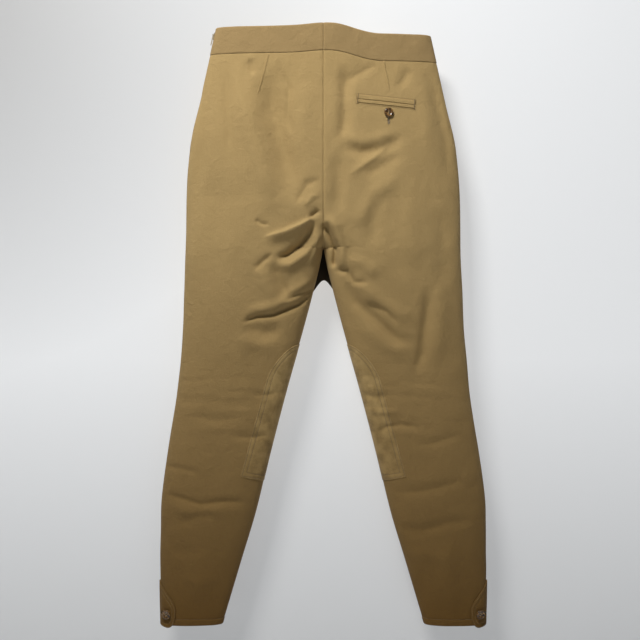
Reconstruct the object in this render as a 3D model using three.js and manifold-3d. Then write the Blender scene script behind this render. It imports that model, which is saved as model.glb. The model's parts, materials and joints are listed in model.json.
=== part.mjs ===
// Riding breeches, hanging by the waistband: a cotton shell with a contoured waistband, a button-through
// welt pocket on the wearer's right seat, knee patches round the inseams, and buttoned ankle tabs.
// Millimetres. +Z is up, the wearer's front faces -Y, and +X is the wearer's left.
// The origin is the middle of the waist opening at the waistband's top edge.
import * as THREE from "three";
import Module from "manifold-3d";
import { mergeVertices } from "three/addons/utils/BufferGeometryUtils.js";

const wasm = await Module();
wasm.setup();

// ---------------------------------------------------------------- driving dimensions

const LENGTH = 984; // waistband top to hem, along the side
const WAIST_HALF = 177; // half the flat waist
const ZIP_FLARE = 0.221; // how fast the side seam widens below the waist, straight as far as the zip needs
const STRAIGHT_SIDE = 190; // depth below the waist to which the side seam stays straight
const BAND_HEIGHT = 45; // waistband
const RISE = 366; // waistband top to the fork
const FORK_CURVE = 84; // height over which the seat seam turns under to the fork
const LEG = (LENGTH - RISE) / 618; // the leg against the 618 mm that its depths below are drawn at
const leg = (down) => RISE + down * LEG; // a depth that far below the fork
const STRETCHES = { seat: RISE - 126, thigh: leg(79), knee: leg(334) }; // where each stretch of a panel ends
const CLOTH = 1.2; // shell cloth
const LINING = 0.6; // pocketing, facings and zip tape
const GAP = 0.3; // between pieces that are sewn together
const ROUNDNESS = 2.6; // superellipse power of every cross-section
const DROOP = { left: 2.5, right: 13, from: -15, over: 80, crown: 3, crownWidth: 35 }; // how the waist hangs
const DROOP_FADE = [170, 350]; // depths between which the droop dies away

// Flat measurements down the garment, at depths below the waistband's top edge.
// half: centre line to side seam. inner: centre line to inseam. back, front: how far the cloth stands off.
const STATIONS = [
  { depth: 0, half: WAIST_HALF, inner: 0, back: 17, front: 14 },
  { depth: BAND_HEIGHT, half: WAIST_HALF + ZIP_FLARE * BAND_HEIGHT, inner: 0, back: 20, front: 16 },
  { depth: 115, half: WAIST_HALF + ZIP_FLARE * 115, inner: 0, back: 27, front: 20 },
  { depth: STRAIGHT_SIDE, half: WAIST_HALF + ZIP_FLARE * STRAIGHT_SIDE, inner: 0, back: 33, front: 23 },
  { depth: RISE - 76, half: 226, inner: 0, back: 38, front: 26 },
  { depth: RISE, half: 226.6, inner: 1, back: 38, front: 28 },
  { depth: leg(29), half: 227.5, inner: 6, back: 37, front: 28 },
  { depth: leg(66), half: 229, inner: 15, back: 35, front: 28 },
  { depth: leg(134), half: 232, inner: 33, back: 32, front: 28 },
  { depth: leg(234), half: 241, inner: 61, back: 28, front: 27 },
  { depth: leg(334), half: 256, inner: 87, back: 26, front: 25 },
  { depth: leg(434), half: 268, inner: 111, back: 25, front: 22 },
  { depth: leg(514), half: 269, inner: 135, back: 21, front: 19 },
  { depth: LENGTH, half: 267, inner: 166, back: 17, front: 15 },
];

const PATCH = { top: leg(158), shoulder: leg(214), bottom: leg(373), drop: 9, shoulderOut: 92, cornerOut: 135, thick: 0.8 };
const HEM_FACING = 34;
const TAB = { top: LENGTH - 73, bottom: LENGTH + 4, reach: 26, thick: 2, button: { in: 12, depth: LENGTH - 19 } };
const TAB_SLOT = { length: 15, width: 2.4 };
const POCKET = { x: -102, z: -129.5, width: 95, slope: 5.5, upper: 7, lower: 5.7, lip: 0.4, proud: 0.5 };
const POCKET_BAG = { width: 118, deep: 142, above: 8, corner: 18 };
const POCKET_BUTTON = { x: -106, z: -147.5, slotLength: 21, slotWidth: 2.4 };
const BUTTON = { r: 7.6, thick: 3, rim: 0.7, well: 4.2, hole: 0.9, pitch: 1.6, shank: 0.8, standoff: 0.5 };
const ZIP = { start: 8, travel: 150, coil: 1.4, slit: 1.8, stop: 4, clear: 0.9 };
const SLIDER = { length: 11, width: 6, plate: 0.8, post: 1.1, postLength: 6, pin: 0.5, eye: 1.1, pull: 17, pullWidth: 4.4 };

// ---------------------------------------------------------------- materials

const cloth = new THREE.MeshStandardMaterial({ color: 0x9c7c4c, roughness: 0.9, metalness: 0 });
const patchCloth = new THREE.MeshStandardMaterial({ color: 0x8b6a36, roughness: 0.95, metalness: 0 });
const lining = new THREE.MeshStandardMaterial({ color: 0xcbbf9f, roughness: 0.85, metalness: 0 });
const horn = new THREE.MeshStandardMaterial({ color: 0x3a2613, roughness: 0.3, metalness: 0 });
const thread = new THREE.MeshStandardMaterial({ color: 0x8d713f, roughness: 0.8, metalness: 0 });
const tape = new THREE.MeshStandardMaterial({ color: 0x93764a, roughness: 0.85, metalness: 0 });
const nylon = new THREE.MeshStandardMaterial({ color: 0x8a7047, roughness: 0.5, metalness: 0 });
const metal = new THREE.MeshStandardMaterial({ color: 0xa9a291, roughness: 0.35, metalness: 1 });

// ---------------------------------------------------------------- the garment's surface

// A smooth curve through the stations' values of one key, with no overshoot between them.
function stationCurve(key) {
  const at = STATIONS.map((s) => s.depth);
  const value = STATIONS.map((s) => s[key]);
  const step = at.slice(1).map((d, i) => (value[i + 1] - value[i]) / (d - at[i]));
  const last = at.length - 1;
  const slope = at.map((_, i) => {
    if (i === 0) return step[0];
    if (i === last) return step[last - 1];
    return step[i - 1] * step[i] <= 0 ? 0 : (2 * step[i - 1] * step[i]) / (step[i - 1] + step[i]);
  });
  return (depth) => {
    const i = Math.min(last - 1, Math.max(0, at.findLastIndex((d) => d <= depth)));
    const h = at[i + 1] - at[i];
    const u = (depth - at[i]) / h;
    if (u > 1) return value[last] + slope[last] * (depth - at[last]);
    if (u < 0) return value[0] + slope[0] * (depth - at[0]);
    const rise = u * u * (3 - 2 * u);
    const bend = h * u * (1 - u) * (slope[i] * (1 - u) - slope[i + 1] * u);
    return value[i] + (value[i + 1] - value[i]) * rise + bend;
  };
}

const curves = { half: stationCurve("half"), inner: stationCurve("inner") };
const standOff = { back: stationCurve("back"), front: stationCurve("front") };
const smooth = (u) => {
  const v = Math.min(1, Math.max(0, u));
  return v * v * (3 - 2 * v);
};

// The waist hangs lower on the wearer's right and is a little crowned in the middle, and both die away
// over the hips.
function droop(x, depth) {
  const fallen = DROOP.left + DROOP.right * smooth((DROOP.from - x) / DROOP.over);
  const crown = DROOP.crown * Math.exp(-((x / DROOP.crownWidth) ** 2));
  return (crown - fallen) * (1 - smooth((depth - DROOP_FADE[0]) / (DROOP_FADE[1] - DROOP_FADE[0])));
}

// The half of a cross-section that lies on one side and face: a superellipse round its own centre,
// grown by off. closure is 0 above the fork, where the seat is one tube, and 1 in a leg.
function section(depth, face, off) {
  const inner = curves.inner(depth);
  const closure = Math.min(1, Math.max(0, 1 - (RISE - depth) / FORK_CURVE));
  const centre = (inner + closure * curves.half(depth)) / (1 + closure);
  return { inner, centre, a: curves.half(depth) - centre + off, d: standOff[face](depth) + off };
}

// A point on that section, t running from the inner end (0) to the side seam (1).
// wrapped sections run right round the inseam, with no seam gap.
function sectionPoint(side, face, depth, t, off, wrapped = false) {
  const { inner, centre, a, d } = section(depth, face, off);
  const start = wrapped ? 0 : Math.acos(Math.min(1, Math.max(0, (centre - inner) / a)) ** (ROUNDNESS / 2));
  const angle = start + (Math.PI - start) * t;
  const cos = Math.cos(angle);
  const power = 2 / ROUNDNESS;
  const seam = wrapped ? 0 : GAP / 2;
  const x = side * (centre - a * Math.sign(cos) * Math.abs(cos) ** power + seam);
  const y = (face === "back" ? 1 : -1) * (d * Math.abs(Math.sin(angle)) ** power + seam);
  return new THREE.Vector3(x, y, -depth + droop(x, depth));
}

// The point and outward normal of the surface above a place (x, depth), standing off by off.
function onSurface(face, x, depth, off) {
  const side = Math.sign(x);
  const level = (u, v) => {
    const { centre, a, d } = section(v, face, 0);
    const out = Math.min(1, Math.abs((Math.abs(u) - centre) / a));
    const y = (face === "back" ? 1 : -1) * d * (1 - out ** ROUNDNESS) ** (1 / ROUNDNESS);
    return new THREE.Vector3(u, y, -v + droop(u, v));
  };
  const at = level(x, depth);
  const across = level(x + side * 0.5, depth).sub(level(x - side * 0.5, depth));
  const down = level(x, depth + 0.5).sub(level(x, depth - 0.5));
  const normal = across.cross(down).normalize();
  if (normal.y * (face === "back" ? 1 : -1) < 0) normal.negate();
  return { at: at.addScaledVector(normal, off), normal };
}

// ---------------------------------------------------------------- solids

function solidFrom(positions, triangles) {
  const mesh = new wasm.Mesh({
    numProp: 3,
    vertProperties: new Float32Array(positions),
    triVerts: new Uint32Array(triangles),
  });
  return new wasm.Manifold(mesh);
}

function solidOf(geometry) {
  const bare = geometry.clone();
  bare.deleteAttribute("normal");
  bare.deleteAttribute("uv");
  const merged = mergeVertices(bare, 1e-4);
  return solidFrom(merged.attributes.position.array, merged.index.array);
}

function geometryOf(solid) {
  const mesh = solid.getMesh();
  const stride = mesh.numProp;
  const points = new Float32Array(mesh.numVert * 3);
  for (let i = 0; i < mesh.numVert; i++) {
    points.set(mesh.vertProperties.subarray(i * stride, i * stride + 3), i * 3);
  }
  const geometry = new THREE.BufferGeometry();
  geometry.setAttribute("position", new THREE.BufferAttribute(points, 3));
  geometry.setIndex(new THREE.BufferAttribute(mesh.triVerts, 1));
  geometry.computeVertexNormals();
  return geometry;
}

// A closed sheet between two grids of points, outer and inner, each rows by columns. flip turns it round.
function sheet(outer, inner, flip) {
  const rows = outer.length;
  const cols = outer[0].length;
  const positions = [...outer.flat(), ...inner.flat()].flatMap((p) => p.toArray());
  const at = (layer, r, c) => (layer * rows + r) * cols + c;
  const triangles = [];
  const quad = (a, b, c, d) => (flip ? triangles.push(a, c, b, a, d, c) : triangles.push(a, b, c, a, c, d));
  for (let r = 0; r < rows - 1; r++) {
    for (let c = 0; c < cols - 1; c++) {
      quad(at(0, r, c), at(0, r + 1, c), at(0, r + 1, c + 1), at(0, r, c + 1));
      quad(at(1, r, c), at(1, r, c + 1), at(1, r + 1, c + 1), at(1, r + 1, c));
    }
    quad(at(0, r, 0), at(1, r, 0), at(1, r + 1, 0), at(0, r + 1, 0));
    quad(at(0, r, cols - 1), at(0, r + 1, cols - 1), at(1, r + 1, cols - 1), at(1, r, cols - 1));
  }
  for (let c = 0; c < cols - 1; c++) {
    quad(at(0, 0, c), at(0, 0, c + 1), at(1, 0, c + 1), at(1, 0, c));
    quad(at(0, rows - 1, c), at(1, rows - 1, c), at(1, rows - 1, c + 1), at(0, rows - 1, c + 1));
  }
  return solidFrom(positions, triangles);
}

// Cloth on one side and face between two offsets from the surface, at the given depths.
// Every layer uses the same columns, so that one lies evenly over the next.
const COLUMNS = [0, 0.07, 0.16, 0.27, 0.38, 0.49, 0.6, 0.7, 0.79, 0.87, 0.94, 1];
const spread = (from, to, n) => Array.from({ length: n + 1 }, (_, i) => from + ((to - from) * i) / n);

function shell(side, face, depths, low, high, first = 0, last = 1) {
  const stops = COLUMNS.filter((t) => t >= first && t <= last);
  const grid = (off) => depths.map((depth) => stops.map((t) => sectionPoint(side, face, depth, t, off)));
  return sheet(grid(high), grid(low), side * (face === "back" ? 1 : -1) > 0);
}

// Cloth that runs from the back, round the inseam, to the front of one leg.
function legWrap(side, depths, low, high, reach) {
  const stops = COLUMNS.filter((t) => t <= reach);
  const loop = [...stops.map((t) => ["back", t]).reverse(), ...stops.slice(1).map((t) => ["front", t])];
  const grid = (off) => depths.map((d) => loop.map(([face, t]) => sectionPoint(side, face, d, t, off, true)));
  return sheet(grid(high), grid(low), side < 0);
}

// The straight column of everything behind an outline drawn on the X-Z plane.
const DEEP = 240;
function column(outline, from = -DEEP / 2, to = DEEP / 2) {
  const geometry = new THREE.ExtrudeGeometry(outline, { depth: to - from, bevelEnabled: false, curveSegments: 5 });
  geometry.rotateX(Math.PI / 2);
  geometry.translate(0, to, 0);
  return solidOf(geometry);
}

function rectangle(width, height, centreX, centreZ, degrees = 0) {
  const turn = (degrees * Math.PI) / 180;
  const corner = (u, v) => {
    const [x, z] = [(u * width) / 2, (v * height) / 2];
    return new THREE.Vector2(
      centreX + x * Math.cos(turn) - z * Math.sin(turn),
      centreZ + x * Math.sin(turn) + z * Math.cos(turn),
    );
  };
  return new THREE.Shape([corner(-1, -1), corner(1, -1), corner(1, 1), corner(-1, 1)]);
}

function placedBox(size, frame, offset) {
  const geometry = new THREE.BoxGeometry(...size);
  geometry.translate(...offset);
  geometry.applyMatrix4(frame);
  return solidOf(geometry);
}

const garment = new THREE.Group();
function piece(name, solid, material) {
  const mesh = new THREE.Mesh(solid.isBufferGeometry ? solid : geometryOf(solid), material);
  mesh.name = name;
  garment.add(mesh);
  return mesh;
}

const SIDES = { left: 1, right: -1 };
const UNDER = -CLOTH - GAP; // the outside of the first layer inside the shell cloth

// ---------------------------------------------------------------- the side zip's own frame

// Along the straight left side seam: x outwards from the cloth, y across the seam, z up along it.
const zipTop = sectionPoint(1, "back", 0, 1, 0).setY(0).add(new THREE.Vector3(-GAP / 2, 0, 0));
const zipEnd = sectionPoint(1, "back", STRAIGHT_SIDE - 5, 1, 0).setY(0).add(new THREE.Vector3(-GAP / 2, 0, 0));
const zipUp = zipTop.clone().sub(zipEnd).normalize();
const zipOut = new THREE.Vector3(zipUp.z, 0, -zipUp.x);
const zipFrame = new THREE.Matrix4().makeBasis(zipOut, new THREE.Vector3(0, 1, 0), zipUp).setPosition(zipTop);
const zipLength = ZIP.travel + SLIDER.length;
const zipSlit = placedBox([20, ZIP.slit, zipLength + ZIP.start + 14], zipFrame, [-4, 0, -(zipLength + ZIP.start) / 2 + 4]);

// ---------------------------------------------------------------- waistband

const bandDepths = [0, ZIP.start, BAND_HEIGHT / 2, BAND_HEIGHT - GAP];
const facingDepths = [1, ZIP.start, BAND_HEIGHT / 2, BAND_HEIGHT - 4];
for (const [sideName, side] of Object.entries(SIDES)) {
  for (const face of ["back", "front"]) {
    let band = shell(side, face, bandDepths, -CLOTH, 0);
    const facing = shell(side, face, facingDepths, UNDER - LINING, UNDER, 0, side > 0 ? 0.6 : 1);
    if (side > 0) band = band.subtract(zipSlit);
    piece(`waistband_${face}_${sideName}`, band, cloth);
    piece(`waistband_facing_${face}_${sideName}`, facing, lining);
  }
}

// ---------------------------------------------------------------- panels

const bodyDepths = [BAND_HEIGHT, 80, 115, 150, STRAIGHT_SIDE, STRETCHES.seat];
const forkDepths = spread(RISE - FORK_CURVE, RISE, 5);
const kneeDepths = [leg(119), PATCH.top, leg(186), PATCH.shoulder, leg(254), leg(294), STRETCHES.knee, PATCH.bottom, leg(414)];
const legDepths = [leg(22), STRETCHES.thigh, ...kneeDepths, leg(459), leg(504)];
const ankleDepths = [TAB.top, LENGTH - 49, TAB.button.depth - 8, TAB.button.depth + 4, LENGTH];
const panelDepths = [...bodyDepths, ...forkDepths, ...legDepths, ...ankleDepths];

const depthAt = (x, z) => spread(0, 1, 4).reduce((depth) => -z + droop(x, depth), -z);
const buttonAt = onSurface("back", POCKET_BUTTON.x, depthAt(POCKET_BUTTON.x, POCKET_BUTTON.z), 0);
const weltStrip = (height, shift, grow = 0) => {
  const lean = (POCKET.slope * Math.PI) / 180;
  const [x, z] = [POCKET.x - shift * Math.sin(lean), POCKET.z + shift * Math.cos(lean)];
  return column(rectangle(POCKET.width + grow, height + grow, x, z, POCKET.slope), 0, DEEP / 2);
};
const slotZ = buttonAt.at.z - POCKET_BUTTON.slotLength / 2 + 2 * POCKET_BUTTON.slotWidth;
const slot = rectangle(POCKET_BUTTON.slotWidth, POCKET_BUTTON.slotLength, buttonAt.at.x, slotZ);
const buttonhole = column(slot, 0, DEEP / 2);
const mouthHeight = POCKET.upper + POCKET.lower + POCKET.lip;
const mouthShift = (POCKET.upper - POCKET.lower) / 2;

// Each panel is one length of cloth, modelled in stretches down the leg.
const stretches = {
  seat: [BAND_HEIGHT, STRETCHES.seat],
  thigh: [STRETCHES.seat, STRETCHES.thigh],
  knee: [STRETCHES.thigh, STRETCHES.knee],
  calf: [STRETCHES.knee, LENGTH],
};
for (const [sideName, side] of Object.entries(SIDES)) {
  for (const face of ["back", "front"]) {
    for (const [stretch, [from, to]] of Object.entries(stretches)) {
      const rows = panelDepths.filter((d) => d >= from && d <= to);
      if (to < LENGTH) rows[rows.length - 1] -= GAP;
      let cut = shell(side, face, rows, -CLOTH, 0);
      if (stretch === "seat" && side > 0) cut = cut.subtract(zipSlit);
      if (stretch === "seat" && side < 0 && face === "back") {
        cut = cut.subtract(weltStrip(mouthHeight, mouthShift, 2 * GAP)).subtract(buttonhole);
      }
      piece(`${face}_panel_${sideName}_${stretch}`, cut, cloth);
    }
  }
}

// ---------------------------------------------------------------- pocket on the right seat

const layer = (low, high) => shell(-1, "back", [...bodyDepths, ...forkDepths.slice(0, 2)], low, high);
const welts = { upper: (POCKET.upper + POCKET.lip) / 2, lower: -(POCKET.lower + POCKET.lip) / 2 };
for (const [name, shift] of Object.entries(welts)) {
  piece(`pocket_welt_${name}`, layer(-CLOTH, POCKET.proud).intersect(weltStrip(POCKET[name], shift)), cloth);
}

// A pouch outline with round bottom corners, its top edge at above over the mouth's middle.
function pouch(above) {
  const half = POCKET_BAG.width / 2;
  const top = POCKET.z + above;
  const bottom = POCKET.z - POCKET_BAG.deep;
  const r = POCKET_BAG.corner;
  const shape = new THREE.Shape();
  shape.moveTo(POCKET.x - half, top);
  shape.lineTo(POCKET.x - half, bottom + r);
  shape.absarc(POCKET.x - half + r, bottom + r, r, Math.PI, 1.5 * Math.PI, false);
  shape.absarc(POCKET.x + half - r, bottom + r, r, 1.5 * Math.PI, 2 * Math.PI, false);
  shape.lineTo(POCKET.x + half, top);
  return column(shape, 0, DEEP / 2);
}

const bagOuter = layer(UNDER - LINING, UNDER).intersect(pouch(-4)).subtract(buttonhole);
const bagDeep = UNDER - LINING - GAP;
piece("pocket_bag_outer", bagOuter, lining);
piece("pocket_bag_inner", layer(bagDeep - LINING, bagDeep).intersect(pouch(POCKET_BAG.above)), lining);

// ---------------------------------------------------------------- buttons

// A four-hole button with a dished middle, its back on z = 0 and its face up.
function buttonSolid() {
  const { r, thick, rim, well } = BUTTON;
  const profile = [
    [0, 0],
    [r - 1.6, 0],
    [r, thick * 0.5],
    [r - 0.35, thick - 0.3],
    [r - 1.1, thick],
    [well + rim, thick - 0.1],
    [well, thick - rim],
    [0, thick - rim - 0.2],
  ].map(([x, y]) => new THREE.Vector2(x, y));
  const lathe = new THREE.LatheGeometry(profile, 20);
  lathe.rotateX(Math.PI / 2);
  let button = solidOf(lathe);
  for (const [u, v] of [[1, 1], [1, -1], [-1, 1], [-1, -1]]) {
    const drill = new THREE.CylinderGeometry(BUTTON.hole, BUTTON.hole, 3 * thick, 8);
    drill.rotateX(Math.PI / 2);
    drill.translate(u * BUTTON.pitch, v * BUTTON.pitch, 0);
    button = button.subtract(solidOf(drill));
  }
  return button;
}

// Sews a button above a surface place: its thread shank starts at root and it stands clear of cover.
function sewButton(name, place, root, cover) {
  const turn = new THREE.Quaternion().setFromUnitVectors(new THREE.Vector3(0, 0, 1), place.normal);
  const base = cover + BUTTON.standoff;
  const button = piece(name, buttonSolid(), horn);
  button.position.copy(place.at).addScaledVector(place.normal, base);
  button.quaternion.copy(turn);
  const long = base - GAP - root;
  const column = new THREE.CylinderGeometry(BUTTON.shank, BUTTON.shank, long, 8);
  column.rotateX(Math.PI / 2);
  const shank = piece(`${name}_shank`, column, thread);
  shank.position.copy(place.at).addScaledVector(place.normal, root + long / 2);
  shank.quaternion.copy(turn);
}

sewButton("pocket_button", buttonAt, bagDeep + GAP, 0);

// ---------------------------------------------------------------- knee patches

// The patch's outline on one leg: a round shoulder off the inseam, then a straight run to a square foot.
function patchOutline(side) {
  const inseam = (depth) => side * (curves.inner(depth) - 12);
  const shape = new THREE.Shape();
  shape.moveTo(inseam(PATCH.top), -PATCH.top);
  shape.bezierCurveTo(
    side * 55, -PATCH.top - 1,
    side * (PATCH.shoulderOut - 9), -PATCH.shoulder + 26,
    side * PATCH.shoulderOut, -PATCH.shoulder,
  );
  shape.lineTo(side * PATCH.cornerOut, -PATCH.bottom);
  shape.lineTo(inseam(PATCH.bottom), -PATCH.bottom - PATCH.drop);
  return shape;
}

for (const [sideName, side] of Object.entries(SIDES)) {
  const wrap = legWrap(side, kneeDepths, GAP, GAP + PATCH.thick, 0.6);
  piece(`knee_patch_${sideName}`, wrap.intersect(column(patchOutline(side))), patchCloth);
}

// ---------------------------------------------------------------- hems and ankle tabs

// The tab's outline: it leaves the side seam, swells to a round end and comes back at the hem.
function tabOutline(side) {
  const seam = side * (curves.half(TAB.top) + 8);
  const edge = curves.half(LENGTH);
  const shape = new THREE.Shape();
  shape.moveTo(seam, -TAB.top + 6);
  shape.lineTo(side * (edge + 1), -TAB.top);
  shape.bezierCurveTo(
    side * (edge - 6), -TAB.top - 22,
    side * (edge - TAB.reach), -TAB.top - 30,
    side * (edge - TAB.reach), -TAB.top - 50,
  );
  shape.bezierCurveTo(
    side * (edge - TAB.reach), -TAB.bottom + 8,
    side * (edge - TAB.reach + 7), -TAB.bottom,
    side * (edge - 12), -TAB.bottom,
  );
  shape.quadraticCurveTo(side * (edge - 4), -TAB.bottom + 1, side * (edge + 1), -TAB.bottom + 6);
  shape.lineTo(seam, -TAB.bottom + 8);
  return shape;
}

for (const [sideName, side] of Object.entries(SIDES)) {
  const hemDepths = [...ankleDepths.filter((d) => d > LENGTH - HEM_FACING)];
  piece(`hem_facing_${sideName}`, legWrap(side, hemDepths, UNDER - LINING, UNDER, 0.94), lining);

  const tabDepths = [TAB.top - 8, ...ankleDepths.slice(0, -1), LENGTH, TAB.bottom + 2];
  const place = onSurface("back", side * (curves.half(TAB.button.depth) - TAB.button.in), TAB.button.depth, 0);
  const slotFrame = new THREE.Matrix4()
    .makeRotationFromQuaternion(new THREE.Quaternion().setFromUnitVectors(new THREE.Vector3(0, 1, 0), place.normal))
    .setPosition(place.at);
  const hole = placedBox(
    [TAB_SLOT.length, 14, TAB_SLOT.width],
    slotFrame,
    [side * (TAB_SLOT.length / 2 - TAB_SLOT.width / 2), 0, 0],
  );
  const tab = shell(side, "back", tabDepths, GAP, GAP + TAB.thick, 0.49)
    .intersect(column(tabOutline(side)))
    .subtract(hole);
  piece(`ankle_tab_${sideName}`, tab, cloth);
  sewButton(`ankle_button_${sideName}`, place, GAP, GAP + TAB.thick);
}

// ---------------------------------------------------------------- side zip

const tapeDepths = [...bandDepths.slice(1), ...bodyDepths.slice(0, 5)];
const tapeLow = UNDER - LINING;
const coilOut = tapeLow - ZIP.clear;
for (const face of ["front", "back"]) {
  const toward = face === "back" ? 1 : -1;
  const strip = shell(1, face, tapeDepths, tapeLow, UNDER, 0.7).subtract(zipSlit);
  piece(`zip_tape_${face}`, strip, tape);
  const coil = placedBox(
    [ZIP.coil, ZIP.coil, zipLength],
    zipFrame,
    [coilOut - ZIP.coil / 2, toward * (ZIP.slit / 2 + ZIP.coil / 2), -ZIP.start - zipLength / 2],
  );
  piece(`zip_coil_${face}`, coil, nylon);
}
piece(
  "zip_stop",
  placedBox(
    [ZIP.coil, ZIP.slit + 2 * ZIP.coil, ZIP.stop],
    zipFrame,
    [coilOut - ZIP.coil / 2, 0, -ZIP.start - zipLength - GAP - ZIP.stop / 2],
  ),
  metal,
);

// The slider's inner plate and outer cap, joined by a post through the slit, with the pull's pin across it.
const coilInside = coilOut - ZIP.coil;
const innerPlate = coilInside - GAP - SLIDER.plate / 2;
const capOut = GAP + 0.2 + SLIDER.plate / 2;
const pinOut = capOut + SLIDER.plate / 2 + SLIDER.eye + 0.25;
const sliderMid = -ZIP.start - SLIDER.length / 2;
const pinUp = sliderMid + 2;
const pinGeometry = new THREE.CylinderGeometry(SLIDER.pin, SLIDER.pin, SLIDER.pullWidth, 12);
pinGeometry.translate(pinOut, 0, pinUp);
pinGeometry.applyMatrix4(zipFrame);
const slider = placedBox([SLIDER.plate, SLIDER.width, SLIDER.length], zipFrame, [innerPlate, 0, sliderMid])
  .add(placedBox([SLIDER.plate, SLIDER.width - 1, SLIDER.length], zipFrame, [capOut, 0, sliderMid]))
  .add(placedBox([capOut - innerPlate, SLIDER.post, SLIDER.postLength], zipFrame, [(capOut + innerPlate) / 2, 0, sliderMid]))
  .add(placedBox([pinOut + SLIDER.pin - capOut, 1.6, 2.4], zipFrame, [(pinOut + SLIDER.pin + capOut) / 2, 0, pinUp]))
  .add(solidOf(pinGeometry));
piece("zip_slider", slider, metal);

// The pull: a plate on two arms whose eyes turn on the pin.
const armThick = 1.2;
const pullPlate = placedBox([1, SLIDER.pullWidth, SLIDER.pull - 6], zipFrame, [pinOut, 0, pinUp - 6 - (SLIDER.pull - 6) / 2]);
const pullHole = new THREE.CylinderGeometry(SLIDER.pin + 0.2, SLIDER.pin + 0.2, SLIDER.pullWidth + 4, 12);
pullHole.translate(pinOut, 0, pinUp);
pullHole.applyMatrix4(zipFrame);
const arms = [-1, 1].map((way) => {
  const eye = new THREE.CylinderGeometry(SLIDER.eye, SLIDER.eye, armThick, 12);
  eye.translate(pinOut, (way * (SLIDER.pullWidth - armThick)) / 2, pinUp);
  eye.applyMatrix4(zipFrame);
  const stem = placedBox([1, armThick, 6.2], zipFrame, [pinOut, (way * (SLIDER.pullWidth - armThick)) / 2, pinUp - 3.1]);
  return solidOf(eye).add(stem);
});
piece("zip_pull", pullPlate.add(arms[0]).add(arms[1]).subtract(solidOf(pullHole)), metal);

// ---------------------------------------------------------------- hook and bar at the waistband's top edge

// Both are flat wire sewn inside the band, and the hook reaches across the slit round the bar.
const hookIn = tapeLow - GAP;
const HOOK = { width: 3.6, wire: 0.7, reach: 2.9, tail: 5.2, level: -3.4, inside: 3.1, legs: 2.2 };
const wireBox = (x, y, z, size) => placedBox(size, zipFrame, [x, y, z]);
const barX = hookIn - HOOK.inside;
const bar = wireBox(barX, -HOOK.reach + 1.1, HOOK.level, [HOOK.wire, HOOK.wire, HOOK.width + 1])
  .add(wireBox(barX, -HOOK.reach + 1.1 - HOOK.legs / 2, HOOK.level + HOOK.width / 2 + 0.5, [HOOK.wire, HOOK.legs, HOOK.wire]))
  .add(wireBox(barX, -HOOK.reach + 1.1 - HOOK.legs / 2, HOOK.level - HOOK.width / 2 - 0.5, [HOOK.wire, HOOK.legs, HOOK.wire]));
piece("waist_bar", bar, metal);
const hookPlate = barX - HOOK.wire - GAP;
const hook = wireBox(hookPlate, (HOOK.tail - HOOK.reach) / 2, HOOK.level, [
  HOOK.wire,
  HOOK.tail + HOOK.reach,
  HOOK.width - 1,
]).add(wireBox(hookPlate + 0.8, -HOOK.reach + HOOK.wire / 2, HOOK.level, [1.9, HOOK.wire, HOOK.width - 1]));
piece("waist_hook", hook, metal);

export default garment;
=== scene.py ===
"""Tan twill riding breeches hanging by the waistband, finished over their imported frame."""

import json
import math

import bmesh
import bpy
import numpy as np
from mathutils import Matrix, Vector
from mathutils.geometry import delaunay_2d_cdt


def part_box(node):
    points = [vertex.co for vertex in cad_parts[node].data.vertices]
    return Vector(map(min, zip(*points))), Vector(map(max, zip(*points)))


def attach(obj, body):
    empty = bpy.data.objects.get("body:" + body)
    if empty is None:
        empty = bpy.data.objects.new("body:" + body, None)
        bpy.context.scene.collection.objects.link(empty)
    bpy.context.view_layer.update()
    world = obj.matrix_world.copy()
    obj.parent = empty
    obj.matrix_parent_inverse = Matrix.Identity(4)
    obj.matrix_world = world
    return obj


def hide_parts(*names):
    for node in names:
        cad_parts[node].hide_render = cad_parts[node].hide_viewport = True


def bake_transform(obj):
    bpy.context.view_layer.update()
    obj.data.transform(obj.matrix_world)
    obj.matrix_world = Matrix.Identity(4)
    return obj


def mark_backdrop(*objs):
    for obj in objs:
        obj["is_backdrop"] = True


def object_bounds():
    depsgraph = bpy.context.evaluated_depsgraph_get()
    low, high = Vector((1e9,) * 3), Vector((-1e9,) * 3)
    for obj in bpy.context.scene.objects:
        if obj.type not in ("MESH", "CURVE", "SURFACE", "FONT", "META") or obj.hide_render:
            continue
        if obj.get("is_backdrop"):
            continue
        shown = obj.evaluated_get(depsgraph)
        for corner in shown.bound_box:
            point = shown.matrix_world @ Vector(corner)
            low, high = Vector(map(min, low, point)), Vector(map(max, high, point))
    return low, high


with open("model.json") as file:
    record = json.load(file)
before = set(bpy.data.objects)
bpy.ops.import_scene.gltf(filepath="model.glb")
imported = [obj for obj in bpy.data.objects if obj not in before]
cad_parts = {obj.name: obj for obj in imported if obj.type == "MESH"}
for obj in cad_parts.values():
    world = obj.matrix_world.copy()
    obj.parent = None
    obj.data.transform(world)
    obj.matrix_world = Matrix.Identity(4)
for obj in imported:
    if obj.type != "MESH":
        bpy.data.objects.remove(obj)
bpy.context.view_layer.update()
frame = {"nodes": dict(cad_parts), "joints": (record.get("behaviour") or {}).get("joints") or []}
MM = 0.001

# ------------------------------------------------------------------ the cut of the breeches, in millimetres

LENGTH = 984  # from the waist's top edge down to the hem
WAIST_HALF = 177  # half the flat waist
ZIP_FLARE = 0.221  # how much each side spreads for each millimetre down, as far as the zip reaches
BAND = 45  # waistband height
RISE = 366  # depth of the fork
FORK = 84  # height above the fork over which each half closes round its own leg
STRAIGHT = 190  # depth to which the sides run straight
CLOTH = 1.2
ROUND = 2.6  # power of the rounded cross-section
SIDES = {"left": 1, "right": -1}
FACING = {"back": 1, "front": -1}
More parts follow.
